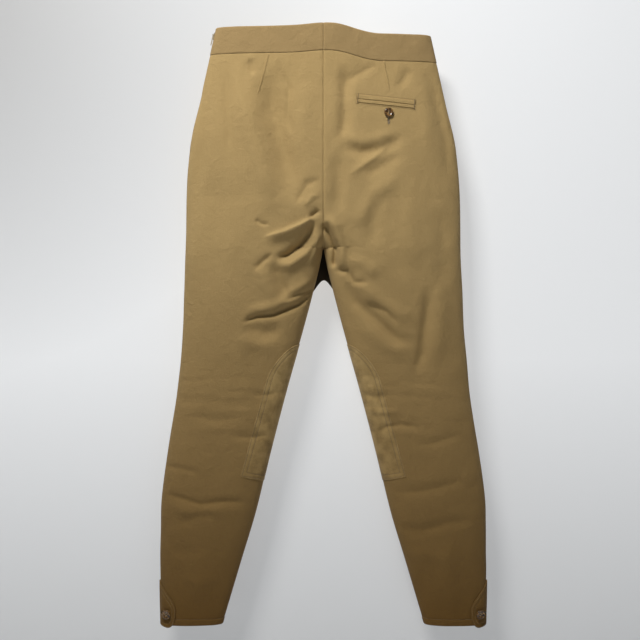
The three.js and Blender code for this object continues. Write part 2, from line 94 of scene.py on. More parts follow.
# depth below the waist, half width, inseam from the middle, how far the back and the front stand off
STATIONS = np.array([
    (0, WAIST_HALF, 0, 17, 14),
    (BAND, WAIST_HALF + ZIP_FLARE * BAND, 0, 20, 16),
    (115, WAIST_HALF + ZIP_FLARE * 115, 0, 27, 20),
    (STRAIGHT, WAIST_HALF + ZIP_FLARE * STRAIGHT, 0, 33, 23),
    (290, 226, 0, 38, 26),
    (RISE, 226.6, 1, 38, 28),
    (395, 227.5, 6, 37, 28),
    (432, 229, 15, 35, 28),
    (500, 232, 33, 32, 28),
    (600, 241, 61, 28, 27),
    (700, 256, 87, 26, 25),
    (800, 268, 111, 25, 22),
    (880, 269, 135, 21, 19),
    (LENGTH, 267, 166, 17, 15),
], float)


def station_curve(column):
    """A smooth curve through one column of the stations, with no overshoot between them."""
    at, value = STATIONS[:, 0], STATIONS[:, column]
    step = np.diff(value) / np.diff(at)
    slope = np.zeros(len(at))
    slope[0], slope[-1] = step[0], step[-1]
    for i in range(1, len(step)):
        a, b = step[i - 1], step[i]
        slope[i] = 2 * a * b / (a + b) if a * b > 0 else 0

    def curve(depth):
        depth = np.asarray(depth, float)
        i = np.clip(np.searchsorted(at, depth, side="right") - 1, 0, len(at) - 2)
        h = at[i + 1] - at[i]
        u = (depth - at[i]) / h
        inside = np.clip(u, 0, 1)
        rise = inside * inside * (3 - 2 * inside)
        bend = h * inside * (1 - inside) * (slope[i] * (1 - inside) - slope[i + 1] * inside)
        past = np.where(u > 1, slope[-1] * (depth - at[-1]), np.where(u < 0, slope[0] * (depth - at[0]), 0))
        return value[i] + (value[i + 1] - value[i]) * rise + bend + past

    return curve


half_width, inseam = station_curve(1), station_curve(2)
STAND = {"back": station_curve(3), "front": station_curve(4)}


def ease(u):
    v = np.clip(u, 0, 1)
    return v * v * (3 - 2 * v)


def hump(distance, width):
    """A soft bump, 1 at no distance."""
    return np.exp(-((distance / width) ** 2))


LEFT_DROP, RIGHT_DROP, CROWN, CROWN_WIDTH = 2.5, 13, 3, 35
LEVEL_FROM, LEVEL_OVER = 170, 180


def droop(x, depth):
    """The waist hangs lower on the wearer's right and is crowned in the middle, and the hips hang level."""
    fallen = LEFT_DROP + RIGHT_DROP * ease((-15 - x) / 80)
    return (CROWN * hump(x, CROWN_WIDTH) - fallen) * (1 - ease((depth - LEVEL_FROM) / LEVEL_OVER))


def section(depth, face, off):
    """Inner end, centre, half width and stand-off of one half of a cross-section."""
    inner = inseam(depth)
    closure = np.clip(1 - (RISE - depth) / FORK, 0, 1)
    centre = (inner + closure * half_width(depth)) / (1 + closure)
    return inner, centre, half_width(depth) - centre + off, STAND[face](depth) + off


# ------------------------------------------------------------------ how the cloth has creased

def lattice_noise(u, v, seed):
    """Smooth noise from -1 to 1 on two coordinates."""
    table = np.random.default_rng(seed).uniform(-1, 1, (64, 64))
    iu, iv = np.floor(u).astype(int), np.floor(v).astype(int)
    fu, fv = ease(u - iu), ease(v - iv)

    def pick(a, b):
        return table[(iu + a) % 64, (iv + b) % 64]

    low = pick(0, 0) * (1 - fu) + pick(1, 0) * fu
    high = pick(0, 1) * (1 - fu) + pick(1, 1) * fu
    return low * (1 - fv) + high * fv


def from_path(path, x, z):
    """Signed distance from a path, positive on its left, and how far along it, from 0 to 1."""
    path = np.asarray(path, float)
    lengths = np.hypot(*np.diff(path, axis=0).T)
    total, start = lengths.sum(), 0.0
    best, signed, along = np.full(x.shape, 1e9), np.zeros(x.shape), np.zeros(x.shape)
    for a, b, length in zip(path[:-1], path[1:], lengths):
        ux, uz = (b - a) / length
        t = np.clip((x - a[0]) * ux + (z - a[1]) * uz, 0, length)
        dx, dz = x - a[0] - t * ux, z - a[1] - t * uz
        distance = np.hypot(dx, dz)
        nearer = distance < best
        best = np.where(nearer, distance, best)
        signed = np.where(nearer, np.where(ux * dz - uz * dx >= 0, distance, -distance), signed)
        along = np.where(nearer, (start + t) / total, along)
        start += length
    return signed, along


def fold(path, width, height, steep=None, fade=0.3):
    """A fold along a path of (x, z) points. height is how proud it stands, or sinks if negative.
    steep is its width on the path's right, where it drops more sharply than on its left."""
    return {"path": path, "width": width, "height": height, "steep": steep or width, "fade": fade}


BACK_FOLDS = [
    # long soft valleys over the left seat, running in to the fork
    fold([(92, -58), (82, -140), (68, -200), (54, -252), (40, -306)], 19, -12.5, fade=0.36),
    fold([(132, -82), (124, -150), (108, -212), (92, -268), (78, -322)], 17, 6.5),
    fold([(76, -60), (56, -108), (58, -152), (46, -198)], 7, -4.0),
    fold([(28, -90), (30, -160), (22, -230)], 14, 1.8),
    fold([(121, -56), (114, -86)], 6.5, -3.0),
    fold([(160, -62), (156, -140), (150, -225)], 8, -2.6),
    fold([(140, -60), (138, -110), (134, -150)], 8, 1.6),
    fold([(192, -90), (198, -180), (204, -290)], 10, -3.0),
    fold([(176, -240), (172, -330), (176, -430)], 18, -2.4),
    # right seat: beside the middle seam, and the sling under the pocket
    fold([(-33, -62), (-36, -119), (-34, -168), (-24, -204)], 10, -7.0),
    fold([(-90, -66), (-52, -86), (-31, -100)], 7, -3.0),
    fold([(-142, -70), (-121, -112)], 8, -2.6),
    fold([(-20, -198), (-60, -213), (-98, -207), (-136, -184)], 10, -5.5),
    fold([(-26, -186), (-60, -196), (-92, -188), (-124, -172)], 9, 2.0),
    fold([(-34, -256), (-74, -227), (-116, -194)], 5.5, 3.6),
    fold([(-22, -208), (-25, -262), (-22, -322)], 12, -5.0),
    fold([(-64, -254), (-96, -234), (-130, -212)], 9, -3.0),
    fold([(-46, -340), (-86, -280), (-126, -244)], 14, 4.0),
    fold([(-88, -270), (-80, -320), (-74, -376)], 13, -3.8),
    fold([(-169, -66), (-183, -114), (-200, -190), (-206, -268)], 10, -3.6),
    fold([(-150, -90), (-166, -160), (-172, -230)], 12, 2.2),
    fold([(-150, -250), (-138, -330), (-146, -410)], 20, 2.8),
    fold([(-192, -290), (-196, -370), (-192, -440)], 14, -2.4),
    # little hollows left of the fork
    fold([(46, -300), (27, -266), (3, -256)], 7, -4.0),
    fold([(32, -304), (17, -284), (5, -286)], 6, 3.0),
    fold([(24, -320), (5, -305)], 4, -5.5),
    fold([(112, -321), (99, -329), (86, -331)], 4, -2.6),
    # the pulled folds at the fork, left leg
    fold([(98, -352), (62, -341), (38, -331), (14, -317)], 11, 8.0, steep=3.2, fade=0.25),
    fold([(13, -320), (23, -344), (37, -363), (58, -379), (78, -385)], 5, -10.5, fade=0.2),
    fold([(82, -394), (54, -394), (28, -376), (8, -350)], 10, 7.0, steep=4),
    fold([(7, -338), (12, -372), (24, -398)], 4, 5.0),
    fold([(112, -405), (96, -388), (80, -377)], 4, -4.0),
    fold([(80, -388), (71, -420), (54, -452)], 9, -5.6),
    fold([(104, -392), (92, -430), (76, -462)], 12, 3.4),
    fold([(66, -454), (40, -443), (20, -436), (5, -422)], 4.5, -6.0, fade=0.2),
    fold([(66, -444), (38, -430), (16, -416)], 7, 3.6),
    fold([(136, -490), (108, -478), (80, -475), (42, -459), (10, -436)], 4.2, -8.0, fade=0.2),
    fold([(130, -476), (84, -463), (44, -447), (12, -429)], 9, 4.8),
    fold([(130, -492), (96, -505), (60, -500)], 13, -5.2),
    fold([(150, -510), (110, -524), (70, -528)], 12, 2.4),
    fold([(150, -400), (128, -500), (132, -580)], 20, 2.2),
    # the pulled folds at the fork, right leg
    fold([(0, -326), (-10, -345), (-20, -368), (-17, -400)], 4.2, -11, fade=0.12),
    fold([(-3, -312), (-19, -334), (-30, -366), (-28, -408)], 8, 7.0, fade=0.25),
    fold([(-15, -400), (-38, -405), (-50, -422), (-76, -424)], 4.5, -5.2, fade=0.2),
    fold([(-28, -388), (-60, -392), (-94, -414)], 11, 4.0),
    fold([(-30, -410), (-54, -455), (-84, -482), (-118, -515), (-154, -521)], 9, -6.4),
    fold([(-42, -402), (-74, -440), (-112, -470), (-154, -488)], 12, 4.8),
    fold([(-64, -454), (-102, -471), (-126, -494)], 6, -4.6),
    fold([(-56, -486), (-96, -522), (-144, -548)], 12, 3.2),
    fold([(-168, -424), (-167, -475), (-159, -540), (-144, -582)], 9, -5.2),
    fold([(-188, -416), (-192, -480), (-180, -566)], 13, 3.2),
    fold([(-120, -400), (-150, -440), (-170, -500)], 14, 2.4),
    # creases across the legs
    fold([(264, -722), (232, -727), (196, -732)], 4, -2.2),
    fold([(264, -767), (226, -776), (200, -784), (160, -779), (116, -783)], 4.5, -3.6, fade=0.2),
    fold([(258, -787), (214, -797), (146, -794)], 9, 2.6),
    fold([(242, -822), (208, -803), (166, -800)], 8, -2.4),
    fold([(-250, -654), (-255, -700), (-264, -726)], 6, -3.2),
    fold([(-106, -762), (-150, -764), (-190, -756), (-236, -742)], 7, -2.6),
    fold([(-112, -822), (-160, -827), (-204, -815), (-248, -811)], 9, -3.0),
    fold([(-124, -868), (-170, -866), (-224, -880)], 11, 2.0),
    fold([(180, -850), (214, -862), (256, -858)], 10, -1.6),
    fold([(160, -900), (196, -912), (240, -905)], 10, 1.4),
    fold([(-62, -605), (-84, -610), (-108, -607)], 4, -2.6),
    fold([(-78, -672), (-104, -658), (-126, -654), (-164, -660)], 4, -3.4),
    fold([(-70, -630), (-96, -634), (-130, -630)], 6, 1.8),
    fold([(66, -599), (94, -606), (122, -604)], 5, -2.2),
    fold([(84, -667), (112, -676), (156, -672)], 5, -2.4),
    fold([(130, -640), (170, -648), (220, -640)], 7, -1.8),
    fold([(-140, -690), (-180, -684), (-230, -668)], 7, -2.2),
    # where the legs narrow to the hem
    fold([(208, -830), (200, -900), (208, -962)], 16, 3.0),
    fold([(-208, -830), (-200, -900), (-208, -962)], 16, 3.0),
]

FRONT_FOLDS = [
    fold([(120, -60), (96, -150), (60, -240), (20, -320)], 15, -2.6),
    fold([(-120, -60), (-92, -150), (-56, -240), (-18, -320)], 15, -2.6),
    fold([(60, -90), (64, -160), (50, -230)], 12, 1.6),
    fold([(-66, -90), (-60, -170), (-46, -230)], 12, 1.6),
    fold([(10, -330), (50, -318), (96, -296)], 5, -3.0, fade=0.2),
    fold([(-12, -336), (-48, -322), (-104, -306)], 5, -3.0, fade=0.2),
    fold([(14, -350), (60, -352), (110, -340)], 8, 2.4),
    fold([(-14, -352), (-58, -350), (-112, -344)], 8, 2.4),
    fold([(24, -400), (60, -430), (110, -452)], 7, -2.4),
    fold([(-22, -398), (-64, -424), (-118, -440)], 7, -2.4),
    fold([(150, -330), (160, -460), (150, -560)], 18, 1.8),
    fold([(-150, -330), (-158, -460), (-148, -560)], 18, 1.8),
    fold([(84, -610), (130, -622), (180, -616)], 5, -1.6),
    fold([(-84, -606), (-130, -620), (-176, -612)], 5, -1.6),
    fold([(100, -668), (150, -676), (214, -668)], 6, -1.6),
    fold([(-100, -664), (-150, -676), (-210, -664)], 6, -1.6),
    fold([(116, -770), (170, -780), (250, -772)], 6, -1.8),
    fold([(-116, -766), (-170, -778), (-250, -768)], 6, -1.8),
    fold([(176, -880), (210, -870), (252, -876)], 10, 1.2),
    fold([(-176, -876), (-210, -868), (-252, -874)], 10, 1.2),
]

# places (x, z, half width, half height) on the back where the cloth lies flat: pocket, its button, both tabs
CALM_SPOTS = [(-102, -130, 62, 26), (-106, -150, 26, 26), (255, -958, 34, 60), (-255, -958, 34, 60)]
DEEPEST, PROUDEST = -15.0, 9.0  # how far a crease may sink or stand off
NARROW = 8  # folds under this width have a sharper crest
SHARP_CREST, SOFT_CREST = 1.35, 2.0


def relief(face, x, z):
    """How far the creased cloth stands off its plain shape, in millimetres."""
    lift = np.zeros(x.shape)
    for f in BACK_FOLDS if face == "back" else FRONT_FOLDS:
        path = np.asarray(f["path"], float)
        reach = 3.2 * max(f["width"], f["steep"])
        near = (x > path[:, 0].min() - reach) & (x < path[:, 0].max() + reach)
        near &= (z > path[:, 1].min() - reach) & (z < path[:, 1].max() + reach)
        if not near.any():
            continue
        signed, along = from_path(path, x[near], z[near])
        width = np.where(signed > 0, f["width"], f["steep"])
        ends = ease(along / f["fade"]) * ease((1 - along) / f["fade"])
        crest = np.where(width < NARROW, SHARP_CREST, SOFT_CREST)
        lift[near] += f["height"] * ends * np.exp(-(np.abs(signed / width) ** crest))
    # the whole cloth's small unevenness, at three sizes
    seed = 11 if face == "back" else 29
    lift += 1.1 * lattice_noise(x / 46, z / 95, seed)
    lift += 0.5 * lattice_noise(x / 21 + z / 60, z / 30, seed + 1)
    lift += 0.16 * lattice_noise(x / 8 + z / 25, z / 12 - x / 30, seed + 5)
    # fine creases across the knees and calves, not the same on the two legs
    side = np.where(x > 0, 0.0, 7.3)
    knee = hump(z + 628, 62) + 0.4 * hump(z + 780, 50)
    slant = z + 0.06 * np.abs(x) + 2.5 * lattice_noise(x / 40 + side, z / 50, seed + 2)
    lift += 0.75 * knee * lattice_noise(x / 70 + side, slant / 7.5, seed + 3)
    # the waist stands off at the middle of the back
    lift += 7 * hump(x + 12, 42) * (1 - ease(-z / 120)) * (face == "back")
    for cx, cz, rx, rz in CALM_SPOTS:
        lift *= 1 - np.exp(-((((x - cx) / rx) ** 2 + ((z - cz) / rz) ** 2) ** 2)) * (face == "back")
    along_zip = hump(x - (WAIST_HALF + ZIP_FLARE * -z), 26) * ease((z + 250) / 60)
    return np.clip(lift * (1 - along_zip), DEEPEST, PROUDEST)


def wave_edge(depth, side):
    """The side seams wander a little."""
    calm = ease((depth - 200) / 80) * ease((900 - depth) / 40)
    return side * 1.3 * lattice_noise(depth / 55 + 3 * side, depth * 0 + 0.5, 5) * calm


# ------------------------------------------------------------------ places on the cloth

# shares of a half-section's turn, closer together at its two ends
SCAN = np.concatenate([np.linspace(0, 0.04, 24, endpoint=False), np.linspace(0.04, 0.96, 180),
                       np.linspace(0.96, 1, 25)[1:]])


def lay_on(side, face, depth, x, y):
    """Add the creases and droop to plain points of the cloth, and give them in metres."""
    z = -depth + droop(x, depth)
    body = ease(np.abs(y) / (0.62 * STAND[face](depth)))
    lift = relief(face, x, z) * body
    y = y + np.sign(y) * lift
    x = x + wave_edge(depth, side) * ease((np.abs(x) - inseam(depth) - 40) / 60)
    return np.stack([x, y, z], -1) * MM


def section_points(side, face, depth, off, first=0.0, last=1.0):
    """Dense plain points across one half-section at each depth, as (rows, points)."""
    inner, centre, a, d = section(depth[:, None], face, off)
    start = np.arccos(np.clip((centre - inner) / a, 0, 1) ** (ROUND / 2))
    angle = start + (math.pi - start) * (first + (last - first) * SCAN[None, :])
    cos, power = np.cos(angle), 2 / ROUND
    x = side * (centre - a * np.sign(cos) * np.abs(cos) ** power)
    y = FACING[face] * d * np.abs(np.sin(angle)) ** power
    return x, y


def running(x, y):
    """How far along its row each point is."""
    run = np.hypot(np.diff(x, axis=1), np.diff(y, axis=1)).cumsum(1)
    return np.concatenate([np.zeros((len(x), 1)), run], 1)


def picked(want, run, values):
    """Each row's values at the distances wanted along it."""
    return np.array([np.interp(w, r, v) for w, r, v in zip(want, run, values)])


FINE_EDGE = np.array([0.5, 1.2, 2.4, 5.0])


def edged(total, count):
    """Distances across a piece, close together at both edges."""
    middle = np.linspace(FINE_EDGE[-1], total - FINE_EDGE[-1], count)[1:-1]
    return np.concatenate([[0], FINE_EDGE, middle, (total - FINE_EDGE)[::-1], [total]])


def on_cloth(face, x, z, off=0.0):
    """The creased surface at a place (x, z), off millimetres out, in metres, and its outward normal."""
    x, z = np.atleast_1d(np.asarray(x, float)), np.atleast_1d(np.asarray(z, float))

    def point(px, pz):
        side = np.where(px >= 0, 1, -1)
        depth = -pz
        for _ in range(5):
            depth = -pz + droop(px, depth)
        _, centre, a, d = section(depth, face, 0)
        out = np.clip(np.abs((np.abs(px) - centre) / a), 0, 0.9995)
        y = FACING[face] * d * (1 - out ** ROUND) ** (1 / ROUND)
        return lay_on(side, face, depth, px, y) / MM

    at = point(x, z)
    across = point(x + 0.6, z) - point(x - 0.6, z)
    down = point(x, z - 0.6) - point(x, z + 0.6)
    normal = np.cross(across, down)
    normal /= np.linalg.norm(normal, axis=1)[:, None]
    normal *= np.sign(normal[:, 1:2]) * FACING[face]
    return (at + normal * np.reshape(off, (-1, 1))) * MM, normal


# ------------------------------------------------------------------ mesh making

def new_object(name, data):
    obj = bpy.data.objects.new(name, data)
    bpy.context.scene.collection.objects.link(obj)
    return obj


def settle(obj):
    """Make what an object's modifiers give its own plain mesh."""
    made = bpy.data.meshes.new_from_object(obj.evaluated_get(bpy.context.evaluated_depsgraph_get()))
    obj.modifiers.clear()
    obj.data = made


def make_mesh(name, points, faces, uv=None, material=None, smooth=True):
    mesh = bpy.data.meshes.new(name)
    mesh.from_pydata([tuple(p) for p in points], [], faces)
    if uv is not None:
        layer = mesh.uv_layers.new(name="cloth")
        index = np.empty(len(mesh.loops), int)
        mesh.loops.foreach_get("vertex_index", index)
        layer.data.foreach_set("uv", np.asarray(uv)[index].ravel())
    mesh.polygons.foreach_set("use_smooth", [smooth] * len(mesh.polygons))
    mesh.validate()
    mesh.update()
    if material:
        mesh.materials.append(material)
    return new_object(name, mesh)


def sheet_mesh(name, outer, inner, uv, material, flip):
    """A closed cloth from two grids of points, (rows, columns, 3)."""
    top, low = np.arange(outer.size // 3 * 2).reshape(2, *outer.shape[:2])
    quads = np.concatenate([np.stack(corners, -1).reshape(-1, 4) for corners in (
        (top[:-1, :-1], top[1:, :-1], top[1:, 1:], top[:-1, 1:]),
        (low[:-1, :-1], low[:-1, 1:], low[1:, 1:], low[1:, :-1]),
        (top[:-1, 0], low[:-1, 0], low[1:, 0], top[1:, 0]),
        (top[:-1, -1], top[1:, -1], low[1:, -1], low[:-1, -1]),
        (top[0, :-1], top[0, 1:], low[0, 1:], low[0, :-1]),
        (top[-1, :-1], low[-1, :-1], low[-1, 1:], top[-1, 1:]),
    )])
    points = np.concatenate([outer.reshape(-1, 3), inner.reshape(-1, 3)])
    both = np.concatenate([uv.reshape(-1, 2)] * 2)
    return make_mesh(name, points, (quads[:, ::-1] if flip else quads).tolist(), both, material)


def area_of(outer):
    a = outer[1:, :-1] - outer[:-1, :-1]
    b = outer[:-1, 1:] - outer[:-1, :-1]
    return float(np.linalg.norm(np.cross(a, b), axis=-1).sum())


def flat_size(outer):
    """A piece's size laid flat: its longest row and its longest column, along the cloth."""
    return (float(np.linalg.norm(np.diff(outer, axis=1), axis=-1).sum(1).max()),
            float(np.linalg.norm(np.diff(outer, axis=0), axis=-1).sum(0).max()))


SEAM_ROLL, SEAM_ROLL_WIDTH = 0.9, 1.1  # how deep and how near its edge a seamed piece rolls under
ZIP_SLIT, ZIP_FOOT = 0.87, 174  # half the slit that the left side leaves over the teeth, and its depth
ZIP_HOLLOW, ZIP_HOLLOW_WIDTH = 0.85, 6.5  # how the cloth draws in beside the slider's lower run
SEAM_GAP = 0.02  # half the gap between two panels
CLEAR = 0.03  # half the gap between back and front


def cloth_piece(name, side, face, depths, high, thick, material, columns, first=0.0, last=1.0,
                edge=None, seamed=True):
    """A piece of the shell at a list of depths, its area and its flat size. edge(depths) adds to its
    stand-off down the rows, and a seamed piece rolls under at its two sides."""
    depths = np.asarray(depths, float)
    x, y = section_points(side, face, depths, high, first, last)
    dense = running(x, y)
    run = np.stack([edged(row[-1], columns) for row in dense])
    x, y = picked(run, dense, x), picked(run, dense, y)
    total = run[:, -1:]
    roll = SEAM_ROLL * seamed * (hump(run, SEAM_ROLL_WIDTH) + hump(total - run, SEAM_ROLL_WIDTH))
    lift = (edge(depths)[:, None] if edge else 0) - roll
    if side > 0:
        beside_zip = ease((depths - 95) / 20) * (1 - ease((depths - 182) / 12))
        lift = lift - ZIP_HOLLOW * hump(total - run, ZIP_HOLLOW_WIDTH) * beside_zip[:, None]
    depth = np.repeat(depths[:, None], x.shape[1], 1)
    flat = lay_on(side, face, depth, x, y)
    normal = np.cross(np.gradient(flat, axis=1), np.gradient(flat, axis=0))
    normal /= np.linalg.norm(normal, axis=2)[..., None] + 1e-12
    facing = FACING[face]
    normal *= np.where((normal[..., 1:2] * facing < 0) & (np.abs(normal[..., 1:2]) > 1e-3), -1, 1)
    sideways = (np.abs(normal[..., 1]) < 0.5) & (run > total / 2) & (normal[..., 0] * side < 0)
    normal[sideways] *= -1
    outer = flat + normal * (lift[..., None] * MM)
    outer[..., 0] += SEAM_GAP * side * MM
    inner = outer - normal * (thick * MM)
    open_zip = (side > 0) * ZIP_SLIT * (1 - ease((depth - ZIP_FOOT) / 3)) * (run > total * 0.6)
    clear = (CLEAR + open_zip) * MM
    for grid in (outer, inner):
        grid[..., 1] = np.where(grid[..., 1] * facing < clear, clear * facing, grid[..., 1])
    if inseam(depths[0]) < 0.5 and first == 0:
        inner[..., 0] = np.where(inner[..., 0] * side < SEAM_GAP * MM, SEAM_GAP * side * MM, inner[..., 0])
    uv = np.stack([facing * (total - run), -depth], -1) * MM
    return sheet_mesh(name, outer, inner, uv, material, side * facing < 0), area_of(flat), flat_size(flat)


def distance_to(loop, points):
    """How far each point is from a closed line."""
    best = np.full(len(points), 1e9)
    for a, b in zip(loop, np.roll(loop, -1, 0)):
        ab = b - a
        t = np.clip(((points - a) @ ab) / (ab @ ab + 1e-12), 0, 1)
        best = np.minimum(best, np.linalg.norm(points - a - t[:, None] * ab, axis=1))
    return best


def inside(loop, points):
    """Which points lie inside a closed line."""
    odd = np.zeros(len(points), bool)
    for a, b in zip(loop, np.roll(loop, -1, 0)):
        crosses = (a[1] > points[:, 1]) != (b[1] > points[:, 1])
        at = a[0] + (points[:, 1] - a[1]) * (b[0] - a[0]) / (b[1] - a[1] + 1e-12)
        odd ^= crosses & (points[:, 0] < at)
    return odd


GROOVE_WIDTH = 0.75  # of a row of stitches sunk into a cut piece


def cut_cloth(name, outline, mapping, high, thick, material, step=3.5, rims=(0.45, 1.1, 2.2), round_off=0.45,
              grooves=(), holes=(), flip=False):
    """A piece cut to an outline in its own flat coordinates, laid on by mapping(points, off)."""
    outline = np.asarray(outline, float)
    loops = [outline, *[np.asarray(h, float) for h in holes]]

    def kept(points, rim, hole_rim):
        keep = inside(outline, points) & (distance_to(outline, points) > rim)
        for hole in loops[1:]:
            keep &= ~inside(hole, points) & (distance_to(hole, points) > hole_rim)
        return points[keep]

    extra = []
    for rim in sorted([*rims, *[at + d for at, _ in grooves for d in (-0.7, 0, 0.7)]]):
        extra.append(kept(inset_line(outline, rim), rim * 0.8, 0.4))
    low, top = outline.min(0), outline.max(0)
    gx, gz = np.meshgrid(np.arange(low[0], top[0], step), np.arange(low[1], top[1], step))
    grid = np.stack([gx.ravel(), gz.ravel()], -1)
    grid[:, 0] += 0.5 * step * (np.round(grid[:, 1] / step) % 2)
    last_rim = max([rims[-1], *[at + 0.7 for at, _ in grooves]])
    extra.append(kept(grid, last_rim + 1.0, 0.9))
    points, edges, start = [], [], 0
    for loop in loops:
        points += [Vector(p) for p in loop]
        edges += [(start + i, start + (i + 1) % len(loop)) for i in range(len(loop))]
        start += len(loop)
    points += [Vector(p) for block in extra for p in block]
    flat, _, tris, *_ = delaunay_2d_cdt(points, edges, [], 1, 1e-5)
    flat = np.array([tuple(p) for p in flat])
    tris = np.array([t[:3] for t in tris if len(t) == 3])
    middle = flat[tris].mean(1)
    keep = inside(outline, middle)
    for hole in loops[1:]:
        keep &= ~inside(hole, middle)
    tris = tris[keep]
    used = np.unique(tris)
    remap = np.full(len(flat), -1)
    remap[used] = np.arange(len(used))
    flat, tris = flat[used], remap[tris]
    ab, ac = flat[tris[:, 1]] - flat[tris[:, 0]], flat[tris[:, 2]] - flat[tris[:, 0]]
    turn = ab[:, 0] * ac[:, 1] - ab[:, 1] * ac[:, 0]
    tris[turn < 0] = tris[turn < 0][:, ::-1]
    away = np.min([distance_to(loop, flat) for loop in loops], axis=0)
    rounding = round_off * (1 - np.sqrt(np.clip(1 - (1 - np.clip(away / 1.1, 0, 1)) ** 2, 0, 1)))
    dip = sum(deep * hump(away - at, GROOVE_WIDTH) for at, deep in grooves)
    top_points = mapping(flat, high - rounding - dip)
    low_points = mapping(flat, np.full(len(flat), high - thick))
    directed = np.concatenate([tris[:, [0, 1]], tris[:, [1, 2]], tris[:, [2, 0]]])
    _, first, count = np.unique(np.sort(directed, 1), axis=0, return_index=True, return_counts=True)
    n = len(flat)
    faces = tris.tolist() + (tris[:, ::-1] + n).tolist()
    faces += [[b, a, a + n, b + n] for a, b in directed[first[count == 1]].tolist()]
    if flip:
        faces = [face[::-1] for face in faces]
    uv = np.concatenate([flat, flat]) * MM
    obj = make_mesh(name, np.concatenate([top_points, low_points]), faces, uv, material)
    return obj, float(np.abs(turn).sum() / 2) * MM * MM, flat.max(0) - flat.min(0)


def bezier(*points, count=18):
    t = np.linspace(0, 1, count)[:, None]
    points = [np.array(p, float) for p in points]
    while len(points) > 1:
        points = [a * (1 - t) + b * t for a, b in zip(points[:-1], points[1:])]
    return points[0]


def even(loop, spacing, closed=True):
    """The same line with its points evenly spaced, corners kept approximately."""
    loop = np.asarray(loop, float)
    if closed:
        loop = np.concatenate([loop, loop[:1]])
    run = np.concatenate([[0], np.linalg.norm(np.diff(loop, axis=0), axis=1).cumsum()])
    count = max(3, int(round(run[-1] / spacing)))
    at = np.linspace(0, run[-1], count + (0 if closed else 1), endpoint=not closed)
    return np.stack([np.interp(at, run, loop[:, i]) for i in range(loop.shape[1])], -1)


# ------------------------------------------------------------------ shader node groups

def node_group(name, inputs, outputs):
    tree = bpy.data.node_groups.new(name, "ShaderNodeTree")
    for label, kind, value in inputs:
        socket = tree.interface.new_socket(label, in_out="INPUT", socket_type=kind)
        socket.default_value = value
    for label, kind in outputs:
        tree.interface.new_socket(label, in_out="OUTPUT", socket_type=kind)
    return tree, tree.nodes.new("NodeGroupInput"), tree.nodes.new("NodeGroupOutput")


def node(tree, kind, inputs=(), **settings):
    made = tree.nodes.new(kind)
    for key, value in settings.items():
        setattr(made, key, value)
    for key, value in dict(inputs).items():
        if isinstance(value, bpy.types.NodeSocket):
            tree.links.new(value, made.inputs[key])
        else:
            made.inputs[key].default_value = value
    return made


def maths(tree, operation, a, b=0.0, clamp=False):
    return node(tree, "ShaderNodeMath", {0: a, 1: b}, operation=operation, use_clamp=clamp).outputs[0]


def add(tree, a, b):
    return maths(tree, "ADD", a, b)


def times(tree, a, b):
    return maths(tree, "MULTIPLY", a, b)


def noise(tree, place, scale, detail, **more):
    values = {"Vector": place, "Scale": scale, "Detail": detail, **more}
    return node(tree, "ShaderNodeTexNoise", values).outputs[0]


def object_place(tree):
    return node(tree, "ShaderNodeTexCoord").outputs["Object"]


def mixed(tree, factor, a, b, blend="MIX"):
    return node(tree, "ShaderNodeMix", {0: factor, 6: a, 7: b}, data_type="RGBA", blend_type=blend).outputs[2]


def build_twill_group():
    """Diagonal ribs of a twill, with uneven yarns."""
    tree, given, result = node_group(
        "twill_weave",
        [("Ribs per metre", "NodeSocketFloat", 780.0), ("Unevenness", "NodeSocketFloat", 0.35)],
        [("Rib", "NodeSocketFloat"), ("Yarn", "NodeSocketFloat")],
    )
    uv = node(tree, "ShaderNodeUVMap", uv_map="cloth").outputs[0]
    split = node(tree, "ShaderNodeSeparateXYZ", {0: uv})
    slub = noise(tree, uv, 420.0, 2.0)
    slope = add(tree, times(tree, split.outputs[0], 0.9), split.outputs[1])
    across = times(tree, slope, given.outputs["Ribs per metre"])
    pushed = add(tree, across, times(tree, slub, given.outputs["Unevenness"]))
    wave = maths(tree, "SINE", times(tree, pushed, 2 * math.pi))
    picks = times(tree, maths(tree, "SUBTRACT", split.outputs[0], split.outputs[1]),
                  given.outputs["Ribs per metre"])
    pick_wave = maths(tree, "SINE", times(tree, picks, 2 * math.pi * 1.6))
    rib = add(tree, times(tree, wave, 0.38), times(tree, pick_wave, 0.12))
    rib = add(tree, rib, 0.5)
    stretched = node(tree, "ShaderNodeMapping", {"Vector": uv, "Scale": (900.0, 60.0, 1.0)}).outputs[0]
    warp = noise(tree, stretched, 1.0, 1.0)
    turned = node(tree, "ShaderNodeMapping", {"Vector": uv, "Scale": (60.0, 900.0, 1.0)}).outputs[0]
    weft = noise(tree, turned, 1.0, 1.0)
    tree.links.new(rib, result.inputs["Rib"])
    tree.links.new(times(tree, add(tree, warp, weft), 0.5), result.inputs["Yarn"])
    return tree


def build_blotch_group():
    """Broad uneven patches, for handled and brushed cloth."""
    tree, given, result = node_group(
        "cloth_blotches",
        [("Patches per metre", "NodeSocketFloat", 14.0), ("Sharpness", "NodeSocketFloat", 1.0)],
        [("Mask", "NodeSocketFloat"), ("Fine", "NodeSocketFloat"), ("Crumple", "NodeSocketFloat")],
    )
    place = object_place(tree)
    broad = noise(tree, place, given.outputs["Patches per metre"], 4.0, Roughness=0.55)
    centred = times(tree, maths(tree, "SUBTRACT", broad, 0.5), given.outputs["Sharpness"])
    fine = noise(tree, place, 900.0, 2.0)
    tree.links.new(maths(tree, "ADD", centred, 0.5, clamp=True), result.inputs["Mask"])
    crumple = noise(tree, place, 75.0, 3.0, Roughness=0.6, Distortion=0.6)
    tree.links.new(fine, result.inputs["Fine"])
    tree.links.new(crumple, result.inputs["Crumple"])
    return tree


